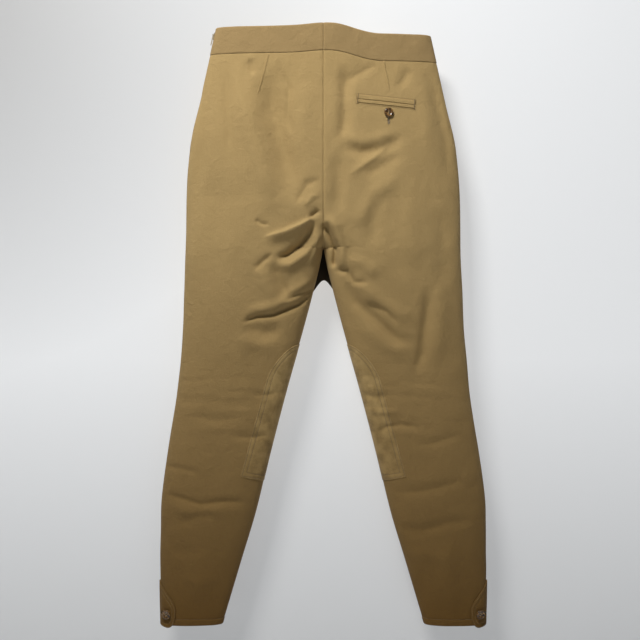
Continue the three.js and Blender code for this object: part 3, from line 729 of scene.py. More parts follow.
def build_hem_depth_group():
    """How far down the garment a place is, from 0 at the seat to 1 at the hem, for the painted shade towards
    the hem.
    """
    tree, given, result = node_group(
        "down_the_leg",
        [("Start", "NodeSocketFloat", 0.35), ("End", "NodeSocketFloat", 1.0)],
        [("Down", "NodeSocketFloat")],
    )
    place = object_place(tree)
    height = node(tree, "ShaderNodeSeparateXYZ", {0: place}).outputs[2]
    down = node(tree, "ShaderNodeMapRange", {"Value": times(tree, height, -1.0),
                                             "From Min": given.outputs["Start"],
                                             "From Max": given.outputs["End"]}).outputs[0]
    tree.links.new(down, result.inputs["Down"])
    return tree


TWILL, BLOTCHES, DOWN = build_twill_group(), build_blotch_group(), build_hem_depth_group()


def group_in(tree, group, **values):
    made = tree.nodes.new("ShaderNodeGroup")
    made.node_tree = group
    for key, value in values.items():
        made.inputs[key.replace("_", " ")].default_value = value
    return made


def new_material(name, **sockets):
    material = bpy.data.materials.new(name)
    material.use_nodes = True
    tree = material.node_tree
    shader = tree.nodes["Principled BSDF"]
    for key, value in sockets.items():
        shader.inputs[key.replace("_", " ")].default_value = value
    return material, tree, shader


def bump_into(tree, shader, height, strength, distance):
    bump = node(tree, "ShaderNodeBump", {"Height": height, "Strength": strength, "Distance": distance})
    tree.links.new(bump.outputs[0], shader.inputs["Normal"])


def cloth_material(name, light, deep, low, ribs=780.0, blotch=0.30, roughness=0.82, rib_depth=0.00022,
                   patches=14.0, sharp=1.0, sheen=0.04, crumpled=7.0):
    """Woven cloth: light and deep are its two yarn shades; low is the colour it is multiplied by towards the
    hem, painted shade for the light falling off down the leg.
    """
    material, tree, shader = new_material(name, Roughness=roughness, Sheen_Weight=sheen, Sheen_Roughness=0.6,
                                          Specular_IOR_Level=0.18)
    twill = group_in(tree, TWILL, Ribs_per_metre=ribs)
    blotches = group_in(tree, BLOTCHES, Patches_per_metre=patches, Sharpness=sharp)
    down = group_in(tree, DOWN)
    weave = mixed(tree, add(tree, times(tree, twill.outputs["Rib"], 0.5),
                              times(tree, twill.outputs["Yarn"], 0.5)), (*deep, 1), (*light, 1))
    worn = mixed(tree, times(tree, blotches.outputs["Mask"], blotch), weave, (*light, 1))
    # painted shade: the colour is multiplied darker towards the hem, standing in for the light falling off
    # down the leg
    hem_shaded_colour = mixed(tree, down.outputs["Down"], worn, (*low, 1), "MULTIPLY")
    tree.links.new(hem_shaded_colour, shader.inputs["Base Color"])
    rough = add(tree, times(tree, blotches.outputs["Fine"], 0.12), roughness - 0.06)
    tree.links.new(rough, shader.inputs["Roughness"])
    height = add(tree, twill.outputs["Rib"], times(tree, blotches.outputs["Fine"], 0.6))
    height = add(tree, height, times(tree, blotches.outputs["Crumple"], crumpled))
    bump_into(tree, shader, height, 0.9, rib_depth)
    return material


def horn_material():
    """Dark marbled horn, with amber streaks."""
    material, tree, shader = new_material("horn_button", Roughness=0.24, Coat_Weight=0.25,
                                          Coat_Roughness=0.15)
    place = object_place(tree)
    swirl = noise(tree, place, 240.0, 4.0, Distortion=2.2)
    ramp = node(tree, "ShaderNodeValToRGB", {"Fac": swirl})
    ramp.color_ramp.elements[0].position = 0.38
    ramp.color_ramp.elements[0].color = (0.012, 0.006, 0.003, 1)
    ramp.color_ramp.elements[1].position = 0.66
    ramp.color_ramp.elements[1].color = (0.46, 0.25, 0.07, 1)
    middle = ramp.color_ramp.elements.new(0.52)
    middle.color = (0.07, 0.032, 0.012, 1)
    tree.links.new(ramp.outputs[0], shader.inputs["Base Color"])
    grain = noise(tree, place, 1500.0, 2.0)
    tree.links.new(add(tree, times(tree, grain, 0.2), 0.16), shader.inputs["Roughness"])
    bump_into(tree, shader, swirl, 0.2, 0.0002)
    return material


def thread_material(name, colour):
    material, tree, shader = new_material(name, Roughness=0.7, Sheen_Weight=0.3)
    place = object_place(tree)
    twist = node(tree, "ShaderNodeTexWave", {"Vector": place, "Scale": 900.0, "Distortion": 1.0},
                 bands_direction="DIAGONAL").outputs[1]
    shade = mixed(tree, twist, (*[c * 0.7 for c in colour], 1), (*colour, 1))
    tree.links.new(shade, shader.inputs["Base Color"])
    bump_into(tree, shader, twist, 0.6, 0.0002)
    return material


def metal_material(name, colour, roughness):
    material, tree, shader = new_material(name, Metallic=1.0, Roughness=roughness)
    blotches = group_in(tree, BLOTCHES, Patches_per_metre=260.0, Sharpness=1.6)
    tone = mixed(tree, blotches.outputs["Mask"], (*[c * 0.72 for c in colour], 1), (*colour, 1))
    tree.links.new(tone, shader.inputs["Base Color"])
    rough = add(tree, times(tree, blotches.outputs["Mask"], 0.2), roughness - 0.1)
    tree.links.new(rough, shader.inputs["Roughness"])
    bump_into(tree, shader, blotches.outputs["Fine"], 0.25, 0.00005)
    return material


# painted shade: the cloth is multiplied darker and warmer towards the hem, standing in for the light falling
# off down the legs
HEM_PAINTED_SHADE = (0.30, 0.215, 0.08)
twill_cloth = cloth_material("tan_twill", (0.48, 0.337, 0.146), (0.30, 0.200, 0.074), HEM_PAINTED_SHADE)
patch_cloth = cloth_material("brushed_knee_patch", (0.57, 0.41, 0.175), (0.17, 0.106, 0.030), HEM_PAINTED_SHADE,
                             ribs=900.0, blotch=0.85, roughness=0.92, patches=52.0, sharp=4.0, sheen=0.12,
                             rib_depth=0.00008)
# painted shade: a darker copy of the twill for the waistband, standing in for the top of the garment being
# lit less
band_shaded_cloth = cloth_material("waistband_twill_painted_shade", (0.385, 0.265, 0.118), (0.25, 0.168, 0.066), HEM_PAINTED_SHADE)
# painted shadow: a near-black twill for the hollow between the legs, where there is only shade
shaded_cloth = cloth_material("twill_painted_shadow_in_the_fork", (0.035, 0.024, 0.012), (0.02, 0.014, 0.007), HEM_PAINTED_SHADE)
lining_cloth = cloth_material("cotton_lining", (0.66, 0.58, 0.44), (0.52, 0.45, 0.33), (0.9, 0.86, 0.8),
                              ribs=1600.0, rib_depth=0.00006, blotch=0.2)
tape_cloth = cloth_material("zip_tape_weave", (0.30, 0.22, 0.12), (0.22, 0.155, 0.08), (1, 1, 1), ribs=1800.0,
                            rib_depth=0.00008, blotch=0.1)
horn = horn_material()
seam_thread = thread_material("seam_thread", (0.27, 0.19, 0.085))
patch_thread = thread_material("patch_thread", (0.13, 0.085, 0.035))
button_thread = thread_material("button_thread", (0.34, 0.24, 0.12))
zip_metal = metal_material("antique_zip_metal", (0.50, 0.42, 0.29), 0.38)

# ------------------------------------------------------------------ rows of stitches and teeth

def build_bead_row():
    """Beads along every line of a mesh, each turned to the line and stood on it by its "up" values."""
    tree = bpy.data.node_groups.new("beads_along_a_line", "GeometryNodeTree")
    tree.interface.new_socket("Geometry", in_out="INPUT", socket_type="NodeSocketGeometry")
    tree.interface.new_socket("Geometry", in_out="OUTPUT", socket_type="NodeSocketGeometry")
    for label, kind, value in (
        ("Pitch", "NodeSocketFloat", 0.003), ("Bead size", "NodeSocketVector", (0.0022, 0.0005, 0.0005)),
        ("Turn", "NodeSocketFloat", 0.0), ("Unevenness", "NodeSocketFloat", 0.06),
        ("Seed", "NodeSocketInt", 4),
        ("Finish", "NodeSocketMaterial", None),
    ):
        socket = tree.interface.new_socket(label, in_out="INPUT", socket_type=kind)
        if value is not None:
            socket.default_value = value
    given, result = tree.nodes.new("NodeGroupInput"), tree.nodes.new("NodeGroupOutput")
    line = node(tree, "GeometryNodeMeshToCurve", {0: given.outputs["Geometry"]}).outputs[0]
    spaced_line = node(tree, "GeometryNodeResampleCurve", {"Curve": line}, mode="LENGTH")
    tree.links.new(given.outputs["Pitch"], spaced_line.inputs["Length"])
    up = node(tree, "GeometryNodeInputNamedAttribute", {"Name": "up"}, data_type="FLOAT_VECTOR").outputs[0]
    tangent = tree.nodes.new("GeometryNodeInputTangent").outputs[0]
    along = node(tree, "FunctionNodeAlignRotationToVector", {"Vector": tangent}, axis="X").outputs[0]
    upright = node(tree, "FunctionNodeAlignRotationToVector", {"Rotation": along, "Vector": up}, axis="Z",
                   pivot_axis="X").outputs[0]
    angle = node(tree, "ShaderNodeCombineXYZ", {2: given.outputs["Turn"]}).outputs[0]
    turn = node(tree, "FunctionNodeEulerToRotation", {0: angle}).outputs[0]
    turned = node(tree, "FunctionNodeRotateRotation", {"Rotation": upright, "Rotate By": turn},
                  rotation_space="LOCAL").outputs[0]
    low = maths(tree, "SUBTRACT", 1.0, given.outputs["Unevenness"])
    top = add(tree, 1.0, given.outputs["Unevenness"])
    vary = node(tree, "FunctionNodeRandomValue", {"Seed": given.outputs["Seed"]}, data_type="FLOAT")
    tree.links.new(low, vary.inputs[2])
    tree.links.new(top, vary.inputs[3])
    size = node(tree, "ShaderNodeVectorMath", {0: given.outputs["Bead size"]}, operation="SCALE")
    tree.links.new(vary.outputs[1], size.inputs["Scale"])
    bead = node(tree, "GeometryNodeMeshIcoSphere", {"Radius": 0.5, "Subdivisions": 2}).outputs[0]
    smooth = node(tree, "GeometryNodeSetShadeSmooth", {0: bead}).outputs[0]
    placed = node(tree, "GeometryNodeInstanceOnPoints", {
        "Points": spaced_line.outputs[0], "Instance": smooth, "Rotation": turned, "Scale": size.outputs[0],
    }).outputs[0]
    real = node(tree, "GeometryNodeRealizeInstances", {0: placed}).outputs[0]
    done = node(tree, "GeometryNodeSetMaterial", {0: real, "Material": given.outputs["Finish"]}).outputs[0]
    tree.links.new(done, result.inputs[0])
    return tree


BEAD_ROW = build_bead_row()


# where an ankle tab's fold along the side seam starts and ends
TAB_FOLDS = {f"ankle_tab_{name}": ((side * 0.2693, 0.0003, -0.94), (side * 0.2667, 0.0058, -0.94))
             for name, side in SIDES.items()}


def follow(obj, body):
    """A piece moves with its body. An ankle tab stays sewn to the side seam."""
    if body in TAB_FOLDS:
        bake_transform(obj)
    else:
        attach(obj, body)


def bead_row(name, lines, finish, pitch, size, turn=0.0, body="garment", closed=False):
    """One piece of beads along lines, each given as its (points, normals) in metres."""
    points, edges, ups = [], [], []
    for at, up in lines:
        first = len(points)
        points += [tuple(p) for p in at]
        ups += [tuple(u) for u in up]
        edges += [(first + i, first + i + 1) for i in range(len(at) - 1)]
        if closed:
            edges.append((first + len(at) - 1, first))
    mesh = bpy.data.meshes.new(name)
    mesh.from_pydata(points, edges, [])
    layer = mesh.attributes.new("up", "FLOAT_VECTOR", "POINT")
    layer.data.foreach_set("vector", np.array(ups, float).ravel())
    obj = new_object(name, mesh)
    values = {"Pitch": pitch * MM, "Bead size": tuple(c * MM for c in size), "Turn": turn, "Finish": finish}
    modifier = obj.modifiers.new("beads", "NODES")
    modifier.node_group = BEAD_ROW
    for socket in BEAD_ROW.interface.items_tree:
        if socket.in_out == "INPUT" and socket.name in values:
            modifier[socket.identifier] = values[socket.name]
    settle(obj)
    follow(obj, body)
    return obj


def shaved(obj, cutters):
    """Cut the cutters' shapes out of a piece."""
    for cutter in cutters:
        modifier = obj.modifiers.new("cut", "BOOLEAN")
        modifier.operation, modifier.solver, modifier.object = "DIFFERENCE", "EXACT", cutter
    settle(obj)
    for cutter in cutters:
        bpy.data.objects.remove(cutter)


CUT_DEEP = 90.0  # a cutter reaches from the middle past the back


def cutter_block(place, size, lean):
    """A block to cut with, centred at place on X and Z, leaning about Y, from the middle outwards."""
    w, h = size[0] / 2, size[1] / 2
    c, s_ = math.cos(math.radians(lean)), math.sin(math.radians(lean))
    flat = [(place[0] + u * c - v * s_, place[1] + u * s_ + v * c)
            for u, v in ((-w, -h), (w, -h), (w, h), (-w, h))]
    points = [(x * MM, y * MM, z * MM) for y in (0.0, CUT_DEEP) for x, z in flat]
    faces = [(0, 1, 2, 3), (7, 6, 5, 4), (0, 4, 5, 1), (1, 5, 6, 2), (2, 6, 7, 3), (3, 7, 4, 0)]
    return make_mesh("cutter", points, faces, smooth=False)


def finish_cloth(obj, nodes, body="garment"):
    """Say what a cloth piece moves with, and hide the solids it stands for."""
    follow(obj, body)
    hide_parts(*nodes)


# ------------------------------------------------------------------ round the leg

def cloth_at(side, run_at, depth, from_seam=False):
    """Creased places round a leg, in millimetres: run_at is the distance from the inseam, or from the side
    seam, positive on the back and negative on the front."""
    out = np.empty((len(run_at), 3))
    for face, mask in (("back", run_at >= 0), ("front", run_at < 0)):
        if not mask.any():
            continue
        x, y = section_points(side, face, depth[mask], 0)
        run = running(x, y)
        want = np.abs(run_at[mask])
        if from_seam:
            want = run[:, -1] - want
        px, py = picked(want, run, x), picked(want, run, y)
        out[mask] = lay_on(side, face, depth[mask], px, py) / MM
    return out


def round_leg(side, flat, off, from_seam=False):
    """Flat places (distance round the leg, -depth) laid on one leg, off millimetres out. Gives metres."""
    run_at, depth = flat[:, 0], -flat[:, 1]
    at = cloth_at(side, run_at, depth, from_seam)
    across = cloth_at(side, run_at + 0.5, depth, from_seam) - cloth_at(side, run_at - 0.5, depth, from_seam)
    down = cloth_at(side, run_at, depth + 0.5, from_seam) - cloth_at(side, run_at, depth - 0.5, from_seam)
    normal = np.cross(across, down) * (-side if from_seam else side)
    normal /= np.linalg.norm(normal, axis=1)[:, None] + 1e-12
    return (at + normal * np.asarray(off).reshape(-1, 1)) * MM, normal


def run_to(x, depth, from_seam=False):
    """How far round the back of a leg the place at abs(x) is."""
    found = []
    for one_x, one_depth in zip(np.abs(x), depth):
        px, py = section_points(1, "back", np.array([float(one_depth)]), 0)
        run = running(px, py)[0]
        want = np.interp(one_x, px[0], run)
        found.append(run[-1] - want if from_seam else want)
    return np.array(found)


def inset_line(line, by, closed=True):
    """A line moved sideways to its inside (closed), or to its left (open)."""
    line = np.asarray(line, float)
    if closed:
        before, after = np.roll(line, 1, 0), np.roll(line, -1, 0)
        turn = np.sign(np.sum(line[:, 0] * after[:, 1] - after[:, 0] * line[:, 1]))
    else:
        before, after, turn = np.vstack([line[:1], line[:-1]]), np.vstack([line[1:], line[-1:]]), 1
    tangent = after - before
    tangent /= np.linalg.norm(tangent, axis=1)[:, None] + 1e-9
    return line + np.stack([-tangent[:, 1], tangent[:, 0]], -1) * turn * by


def clean_inset(line, by):
    """An inset of a closed line with the points that came too near the line taken out."""
    moved = inset_line(line, by)
    return moved[distance_to(line, moved) > by * 0.97]


# ------------------------------------------------------------------ the shell

PROUD_BAND = 0.55  # how far the waistband stands off the panels
TURN_UP, TURN_UP_RISE = 9.6, 0.75  # the hem's turned-up band: its height and how proud it is
HEM_STITCH_UP = 10.4  # the hem's row of stitches, above the hem
POCKET = {"x": -102, "z": -129.5, "width": 95, "lean": 5.5, "upper": 7, "lower": 5.7, "lip": 0.4}
POCKET_SLOT = {"x": -106, "z": -157.0, "length": 18.5, "width": 1.2}


FINE_ROWS = np.array([0.6, 1.4, 2.6, 5.0])


def depth_rows(start, end, step):
    """Depths down a panel, close together at its two ends."""
    inner = np.arange(start + FINE_ROWS[-1], end - FINE_ROWS[-1], step)
    return np.concatenate([[start], start + FINE_ROWS[:-1], inner, end - FINE_ROWS[::-1], [end]])


def panel_edge(depths):
    """The waist seam tucks under, and the hem turns up in a narrow proud band."""
    waist = -0.45 * hump(depths - BAND, 1.4)
    hem = TURN_UP_RISE * ease((depths - (LENGTH - TURN_UP)) / 0.9)
    hem -= 0.5 * hump(depths - (LENGTH - HEM_STITCH_UP), 0.8)
    lip = -0.5 * hump(depths - LENGTH, 0.7)
    return waist + hem + lip


def band_edge(depths):
    """The waistband stands proud of the panels and rolls over at its top."""
    return PROUD_BAND - 0.9 * hump(depths, 1.0) - 0.35 * hump(depths - BAND, 0.9)


def seam_ridge(name, path, height=0.9):
    """A sewn dart: the cloth rises on one side of a line and drops at the other."""
    line = even(path, 2.5, closed=False)
    across = (-3.2, -1.8, -0.8, -0.25, 0.15, 0.45, 0.7)
    rise = (-0.1, 0.12, 0.42, 0.5, 0.42, 0.1, -0.35)
    taper = ease(np.linspace(0, 1, len(line)) / 0.04) * ease((1 - np.linspace(0, 1, len(line))) / 0.3)
    outer, inner = [], []
    for u, lift in zip(across, rise):
        moved = inset_line(line, u, closed=False)
        scaled = lift * (height / 0.5 if lift > 0 else 1) * taper - 0.35 * (1 - taper)
        outer.append(on_cloth("back", moved[:, 0], moved[:, 1], scaled)[0])
        inner.append(on_cloth("back", moved[:, 0], moved[:, 1], -0.6)[0])
    outer, inner = np.array(outer), np.array(inner)
    normal = np.cross(outer[1, 0] - outer[0, 0], outer[0, 1] - outer[0, 0])
    uv = np.stack([outer[..., 0], outer[..., 2]], -1)
    return sheet_mesh(name, outer, inner, uv, twill_cloth, normal[1] < 0)


def joined(obj, extras):
    """Put extra pieces into one mesh with obj."""
    whole = bmesh.new()
    for part in (obj, *extras):
        whole.from_mesh(part.data)
    whole.to_mesh(obj.data)
    whole.free()
    for part in extras:
        bpy.data.objects.remove(part)


rows = np.unique(np.concatenate([
    depth_rows(BAND + 0.1, LENGTH, 3.0), np.arange(RISE - FORK, RISE - 12, 1.6),
    RISE - np.array([12, 10.8, 9.6, 8.4, 7.2, 6.2, 5.3, 4.5, 3.8, 3.1, 2.5, 2.0, 1.6, 1.2, 0.9, 0.6, 0.35,
                     0]),
    LENGTH - np.array([11.6, 11.0, 10.4, 9.9, 9.4, 8.9, 8.2])]))
rows = rows[np.concatenate([[True], np.diff(rows) > 0.2])]
band_rows = np.unique(np.concatenate([[0, 0.4, 0.9, 1.6, 2.6], np.linspace(4, BAND - 4, 13),
                                      BAND - np.array([2.6, 1.6, 0.9, 0.4, 0.0])]))


def seam_allowance(face):
    """The turned-in edge of the left panel, which lies under the right one along the middle seam."""
    depths = np.concatenate([np.arange(BAND, RISE - 30, 4), np.arange(RISE - 30, RISE + 2, 1.5)])
    across, down = np.meshgrid(np.linspace(2.5, -7, 8), depths)
    under = -1.45 - 0.02 * np.abs(across)
    shape = (*across.shape, 3)
    at, normal = on_cloth(face, across.ravel(), -down.ravel())
    at, normal = at.reshape(shape), normal.reshape(shape)
    outer, inner = at + normal * (under[..., None] * MM), at + normal * ((under[..., None] - 0.6) * MM)
    uv = np.stack([across, -down], -1) * MM
    return sheet_mesh("allowance", outer, inner, uv, twill_cloth, face == "back")


def front_fork():
    """The front's fork hangs a little lower than the seat's; its faces towards the back are near-black, a
    painted shadow in the hollow between the legs.
    """
    across, down = np.meshgrid(np.linspace(-1, 1, 17), np.linspace(0, 1, 26))
    depth = 338 + down * (80 + 28 * across ** 2)
    x = across * (inseam(depth) + 5) - 1.0
    y = -11.0 - 3.0 * (1 - across ** 2) + 1.2 * np.sin(9 * down + 3 * across)
    outer = np.stack([x, y, -depth], -1) * MM
    inner = outer - np.array([0, CLOTH * MM, 0])
    uv = np.stack([x, -depth], -1) * MM
    return sheet_mesh("front_fork_cloth", outer, inner, uv, shaded_cloth, True), area_of(outer)


DARTS = {
    "left": [[(89.5, -48), (100, -88), (111.6, -129)]],
    "right": [[(-97.6, -60), (-104, -96), (-108, -116)]],
}
for side_name, side in SIDES.items():
    for face in ("back", "front"):
        name = f"{face}_panel_{side_name}"
        columns = 104 if face == "back" else 64
        obj, area, flat = cloth_piece(f"{name}_cloth", side, face, rows, 0.0, CLOTH, twill_cloth, columns,
                                      edge=panel_edge)
        if face == "back":
            if side < 0:
                mouth = cutter_block((POCKET["x"], POCKET["z"] + 0.6), (POCKET["width"] - 1, 9),
                                     POCKET["lean"])
                slot = cutter_block((POCKET_SLOT["x"], POCKET_SLOT["z"]),
                                    (POCKET_SLOT["width"], POCKET_SLOT["length"]), 0)
                shaved(obj, [mouth, slot])
            joined(obj, [seam_ridge("dart", path) for path in DARTS[side_name]])
        if side > 0:
            joined(obj, [seam_allowance(face)])
        solids = [f"{name}_{part}" for part in ("seat", "thigh", "knee", "calf")]
        finish_cloth(obj, solids)
        # the waistband takes the darker twill, painted shade for the less lit top
        obj, area, flat = cloth_piece(f"waistband_{face}_{side_name}_cloth", side, face, band_rows, 0.0,
                                      CLOTH + 0.1, band_shaded_cloth, 70, edge=band_edge)
        finish_cloth(obj, [f"waistband_{face}_{side_name}"])
        obj, area, flat = cloth_piece(f"waistband_facing_{face}_{side_name}_cloth", side, face,
                                      np.linspace(1, BAND - 4, 14), -1.25, 0.6, lining_cloth, 50,
                                      last=0.6 if side > 0 else 0.995, seamed=False)
        finish_cloth(obj, [f"waistband_facing_{face}_{side_name}"])

fork, area = front_fork()
# faces turned towards the back keep the near-black painted shadow; faces towards the front get the plain
# twill
fork.data.materials.append(twill_cloth)
for polygon in fork.data.polygons:
    polygon.material_index = int(polygon.normal.y < 0.3)
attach(fork, "garment")

# ------------------------------------------------------------------ the pocket

def leaning(u, v):
    """A place in the pocket's own leaning frame, u along its mouth and v up."""
    lean = math.radians(POCKET["lean"])
    u, v = np.asarray(u, float), np.asarray(v, float)
    return (POCKET["x"] + u * math.cos(lean) - v * math.sin(lean),
            POCKET["z"] + u * math.sin(lean) + v * math.cos(lean))


def box_outline(width, height, spacing=2.0, corner=0.8):
    w, h, c = width / 2, height / 2, corner
    loop = [(-w, -h + c), (-w + c, -h), (w - c, -h), (w, -h + c),
            (w, h - c), (w - c, h), (-w + c, h), (-w, h - c)]
    return even(loop, spacing)


def on_back(flat, off):
    """Flat places (x, z) laid on the back, off millimetres out, in metres."""
    return on_cloth("back", flat[:, 0], flat[:, 1], off)[0]


def welt_mapping(shift):
    return lambda flat, off: on_back(np.stack(leaning(flat[:, 0], flat[:, 1] + shift), -1), off)


for welt, height, shift in (("upper", POCKET["upper"], (POCKET["upper"] + POCKET["lip"]) / 2),
                            ("lower", POCKET["lower"], -(POCKET["lower"] + POCKET["lip"]) / 2)):
    obj, area, _ = cut_cloth(f"pocket_welt_{welt}_cloth", box_outline(POCKET["width"], height, 1.6),
                             welt_mapping(shift), 1.15, 1.9, twill_cloth, step=1.8, rims=(0.3, 0.7, 1.2),
                             round_off=0.8, flip=True)
    finish_cloth(obj, [f"pocket_welt_{welt}"])


def line_on_back(points, off):
    points = np.asarray(points, float)
    return on_cloth("back", points[:, 0], points[:, 1], off)


def pocket_line(points, off=0.2):
    points = np.asarray(points, float)
    x, z = leaning(points[:, 0], points[:, 1])
    return line_on_back(even(np.stack([x, z], -1), 1.2, closed=False), off)


half = POCKET["width"] / 2
frame_half = half + 1.6
frame_line = [(-frame_half, -8.0), (-frame_half, 9.0), (frame_half, 9.0), (frame_half, -8.0),
              (-frame_half, -8.0)]
bead_row("pocket_frame_stitches", [pocket_line(frame_line)], seam_thread, 2.6, (2.0, 0.5, 0.45))
tacks = [pocket_line([(u, -7.2), (u, 8.0)], 1.1) for u in (-half + 1.2, half - 1.2)]
bead_row("pocket_bar_tacks", tacks, seam_thread, 0.55, (1.9, 0.5, 0.5), turn=math.pi / 2)


def slot_rim(x, z, width, length, off):
    """The closed line round an upright buttonhole."""
    w, l = width / 2 + 0.8, length / 2
    loop = [(x + w * math.cos(a), z + (l - w) * (1 if math.sin(a) >= 0 else -1) + w * math.sin(a))
            for a in np.linspace(0, 2 * math.pi, 40, endpoint=False)]
    return line_on_back(even(loop, 0.8), off)


bead_row("pocket_buttonhole_stitches",
         [slot_rim(POCKET_SLOT["x"], POCKET_SLOT["z"], POCKET_SLOT["width"], POCKET_SLOT["length"], 0.15)],
         seam_thread, 0.62, (1.7, 0.6, 0.6), turn=math.pi / 2, closed=True)

BAG = {"width": 118, "deep": 142, "corner": 18}
for bag, above, high in (("outer", -4, -1.3), ("inner", 8, -2.15)):
    w, top, foot, r = BAG["width"] / 2, POCKET["z"] + above, POCKET["z"] - BAG["deep"], BAG["corner"]
    arc = [(math.cos(a) * r, math.sin(a) * r) for a in np.linspace(math.pi, 1.5 * math.pi, 8)]
    loop = [(POCKET["x"] - w, top)] + [(POCKET["x"] - w + r + c, foot + r + s_) for c, s_ in arc]
    loop += [(POCKET["x"] + w - r - c, foot + r + s_) for c, s_ in arc[::-1]] + [(POCKET["x"] + w, top)]

    obj, area, cut = cut_cloth(f"pocket_bag_{bag}_cloth", even(loop, 4), on_back, high, 0.5, lining_cloth,
                               step=5, round_off=0.1, flip=True)
    finish_cloth(obj, [f"pocket_bag_{bag}"])

# ------------------------------------------------------------------ knee patches

PATCH_ROWS = (2.2, 8.6)  # two rows of stitches, in from the patch's edge
PATCH = {"top": 524, "shoulder": 580, "foot": 739, "drop": 9, "shoulder_out": 92, "corner_out": 135}


def patch_outline():
    """The outline, as distances round the leg and depth, for the back and mirrored on the front."""
    upper = bezier((float(inseam(PATCH["top"])), PATCH["top"]), (55, PATCH["top"] + 1),
                   (PATCH["shoulder_out"] - 9, PATCH["shoulder"] - 26),
                   (PATCH["shoulder_out"], PATCH["shoulder"]))
    down = np.linspace(upper[-1], (PATCH["corner_out"], PATCH["foot"]), 40)[1:]
    lowest = PATCH["foot"] + PATCH["drop"]
    foot = np.linspace(down[-1], (float(inseam(lowest)), lowest), 14)[1:]
    back = np.concatenate([upper, down, foot])
    run = run_to(back[:, 0], back[:, 1])
    run[0] = run[-1] = 0
    half_loop = np.stack([run, -back[:, 1]], -1)
    other = half_loop[::-1][1:-1] * np.array([-1, 1])
    return even(np.concatenate([half_loop, other]), 3.0)


outline = patch_outline()
for side_name, side in SIDES.items():
    def patch_mapping(flat, off, side=side):
        return round_leg(side, flat, off)[0]

    obj, area, cut = cut_cloth(f"knee_patch_{side_name}_cloth", outline, patch_mapping, 0.95, 0.9,
                               patch_cloth, step=3.2, rims=(0.4, 1.0), round_off=0.5,
                               grooves=list(zip(PATCH_ROWS, (0.45, 0.5))), flip=side > 0)
    rows_in = [round_leg(side, clean_inset(even(outline, 1.5), by), 0.62) for by in PATCH_ROWS]
    stitches = bead_row(f"knee_patch_{side_name}_stitches", rows_in, patch_thread, 2.7, (2.2, 0.8, 0.5),
                        closed=True)
    finish_cloth(obj, [f"knee_patch_{side_name}"])

# ------------------------------------------------------------------ hems and ankle tabs

for side_name, side in SIDES.items():
    total = run_to([300], [LENGTH])[0] - 12
    grid_u, grid_d = np.meshgrid(np.linspace(-total, total, 110), np.linspace(LENGTH - 27, LENGTH - 0.3, 8))
    flat = np.stack([grid_u.ravel(), -grid_d.ravel()], -1)
    outer = round_leg(side, flat, -1.3)[0].reshape(*grid_u.shape, 3)
    inner = round_leg(side, flat, -1.85)[0].reshape(*grid_u.shape, 3)
    uv = np.stack([grid_u, -grid_d], -1) * MM
    obj = sheet_mesh(f"hem_facing_{side_name}_cloth", outer, inner, uv, lining_cloth, side < 0)
    ring_u = np.linspace(-total, total, 220)
    ring = np.stack([ring_u, np.full_like(ring_u, -(LENGTH - HEM_STITCH_UP))], -1)
    stitches = bead_row(f"hem_{side_name}_stitches", [round_leg(side, ring, -0.1)], seam_thread, 3.0,
                        (2.2, 0.5, 0.4))
    finish_cloth(obj, [f"hem_facing_{side_name}"])

TAB_ROWS = (1.7, 6.3)  # two rows of stitches, in from the tab's edge
HOLE_ROUND = 1.2  # end radius of the tab's buttonhole
TAB = {"top": 911, "foot": LENGTH + 4, "reach": 26, "button_in": 12, "button_depth": 965}


def tab_outline():
    """The tab's outline, as distance round the leg from the side seam and depth."""
    edge = float(half_width(LENGTH))
    nose, top, end = edge - TAB["reach"], TAB["top"], TAB["foot"]
    upper = bezier((edge + 1, top), (edge - 6, top + 22), (nose, top + 30), (nose, top + 50))
    lower = bezier((nose, top + 50), (nose, end - 8), (nose + 7, end), (edge - 12, end))[1:]
    foot = bezier((edge - 12, end), (edge - 4, end - 1), (edge + 0.5, end - 4))[1:]
    line = np.concatenate([upper, lower, foot])
    run = np.maximum(run_to(line[:, 0], line[:, 1], from_seam=True), 0.4)
    return even(np.stack([run, -line[:, 1]], -1), 1.6)


for side_name, side in SIDES.items():
    outline = tab_outline()
    depth = TAB["button_depth"]
    middle = run_to([float(half_width(depth)) - TAB["button_in"]], [depth], from_seam=True)[0]
    slot_line = [(middle + end + HOLE_ROUND * math.cos(a), -depth + HOLE_ROUND * math.sin(a))
                 for end, start in ((HOLE_ROUND, -math.pi / 2), (-13.0, math.pi / 2))
                 for a in np.linspace(start, start + math.pi, 7)]

    def tab_mapping(flat, off, side=side):
        return round_leg(side, flat, off, from_seam=True)[0]

    obj, area, cut = cut_cloth(f"ankle_tab_{side_name}_cloth", outline, tab_mapping, 2.25, 1.9, twill_cloth,
                               step=2.0, rims=(0.35, 0.8, 1.5, 2.6), round_off=1.0,
                               grooves=list(zip(TAB_ROWS, (0.3, 0.7))), holes=[slot_line], flip=side < 0)
    rows_in = [round_leg(side, clean_inset(even(outline, 0.8), by), off, from_seam=True)
               for by, off in zip(TAB_ROWS, (1.95, 1.6))]
    stitches = bead_row(f"ankle_tab_{side_name}_stitches", rows_in, seam_thread, 2.5, (1.9, 0.5, 0.4),
                        closed=True, body=f"ankle_tab_{side_name}")
    rim = np.array(slot_line)
    rim = rim[(rim[:, 0] < middle - 4)]
    hole_line = round_leg(side, even(rim, 0.6, closed=False), 2.2, from_seam=True)
    worked = bead_row(f"ankle_tab_{side_name}_buttonhole", [hole_line], seam_thread, 0.6, (1.7, 0.6, 0.6),
                      turn=math.pi / 2, body=f"ankle_tab_{side_name}")
    finish_cloth(obj, [f"ankle_tab_{side_name}"],
                 body=f"ankle_tab_{side_name}")

# ------------------------------------------------------------------ buttons

BUTTON = {"r": 7.6, "thick": 3.0, "well": 4.2, "rim": 0.7, "hole": 0.9, "pitch": 1.6, "stand": 0.5}


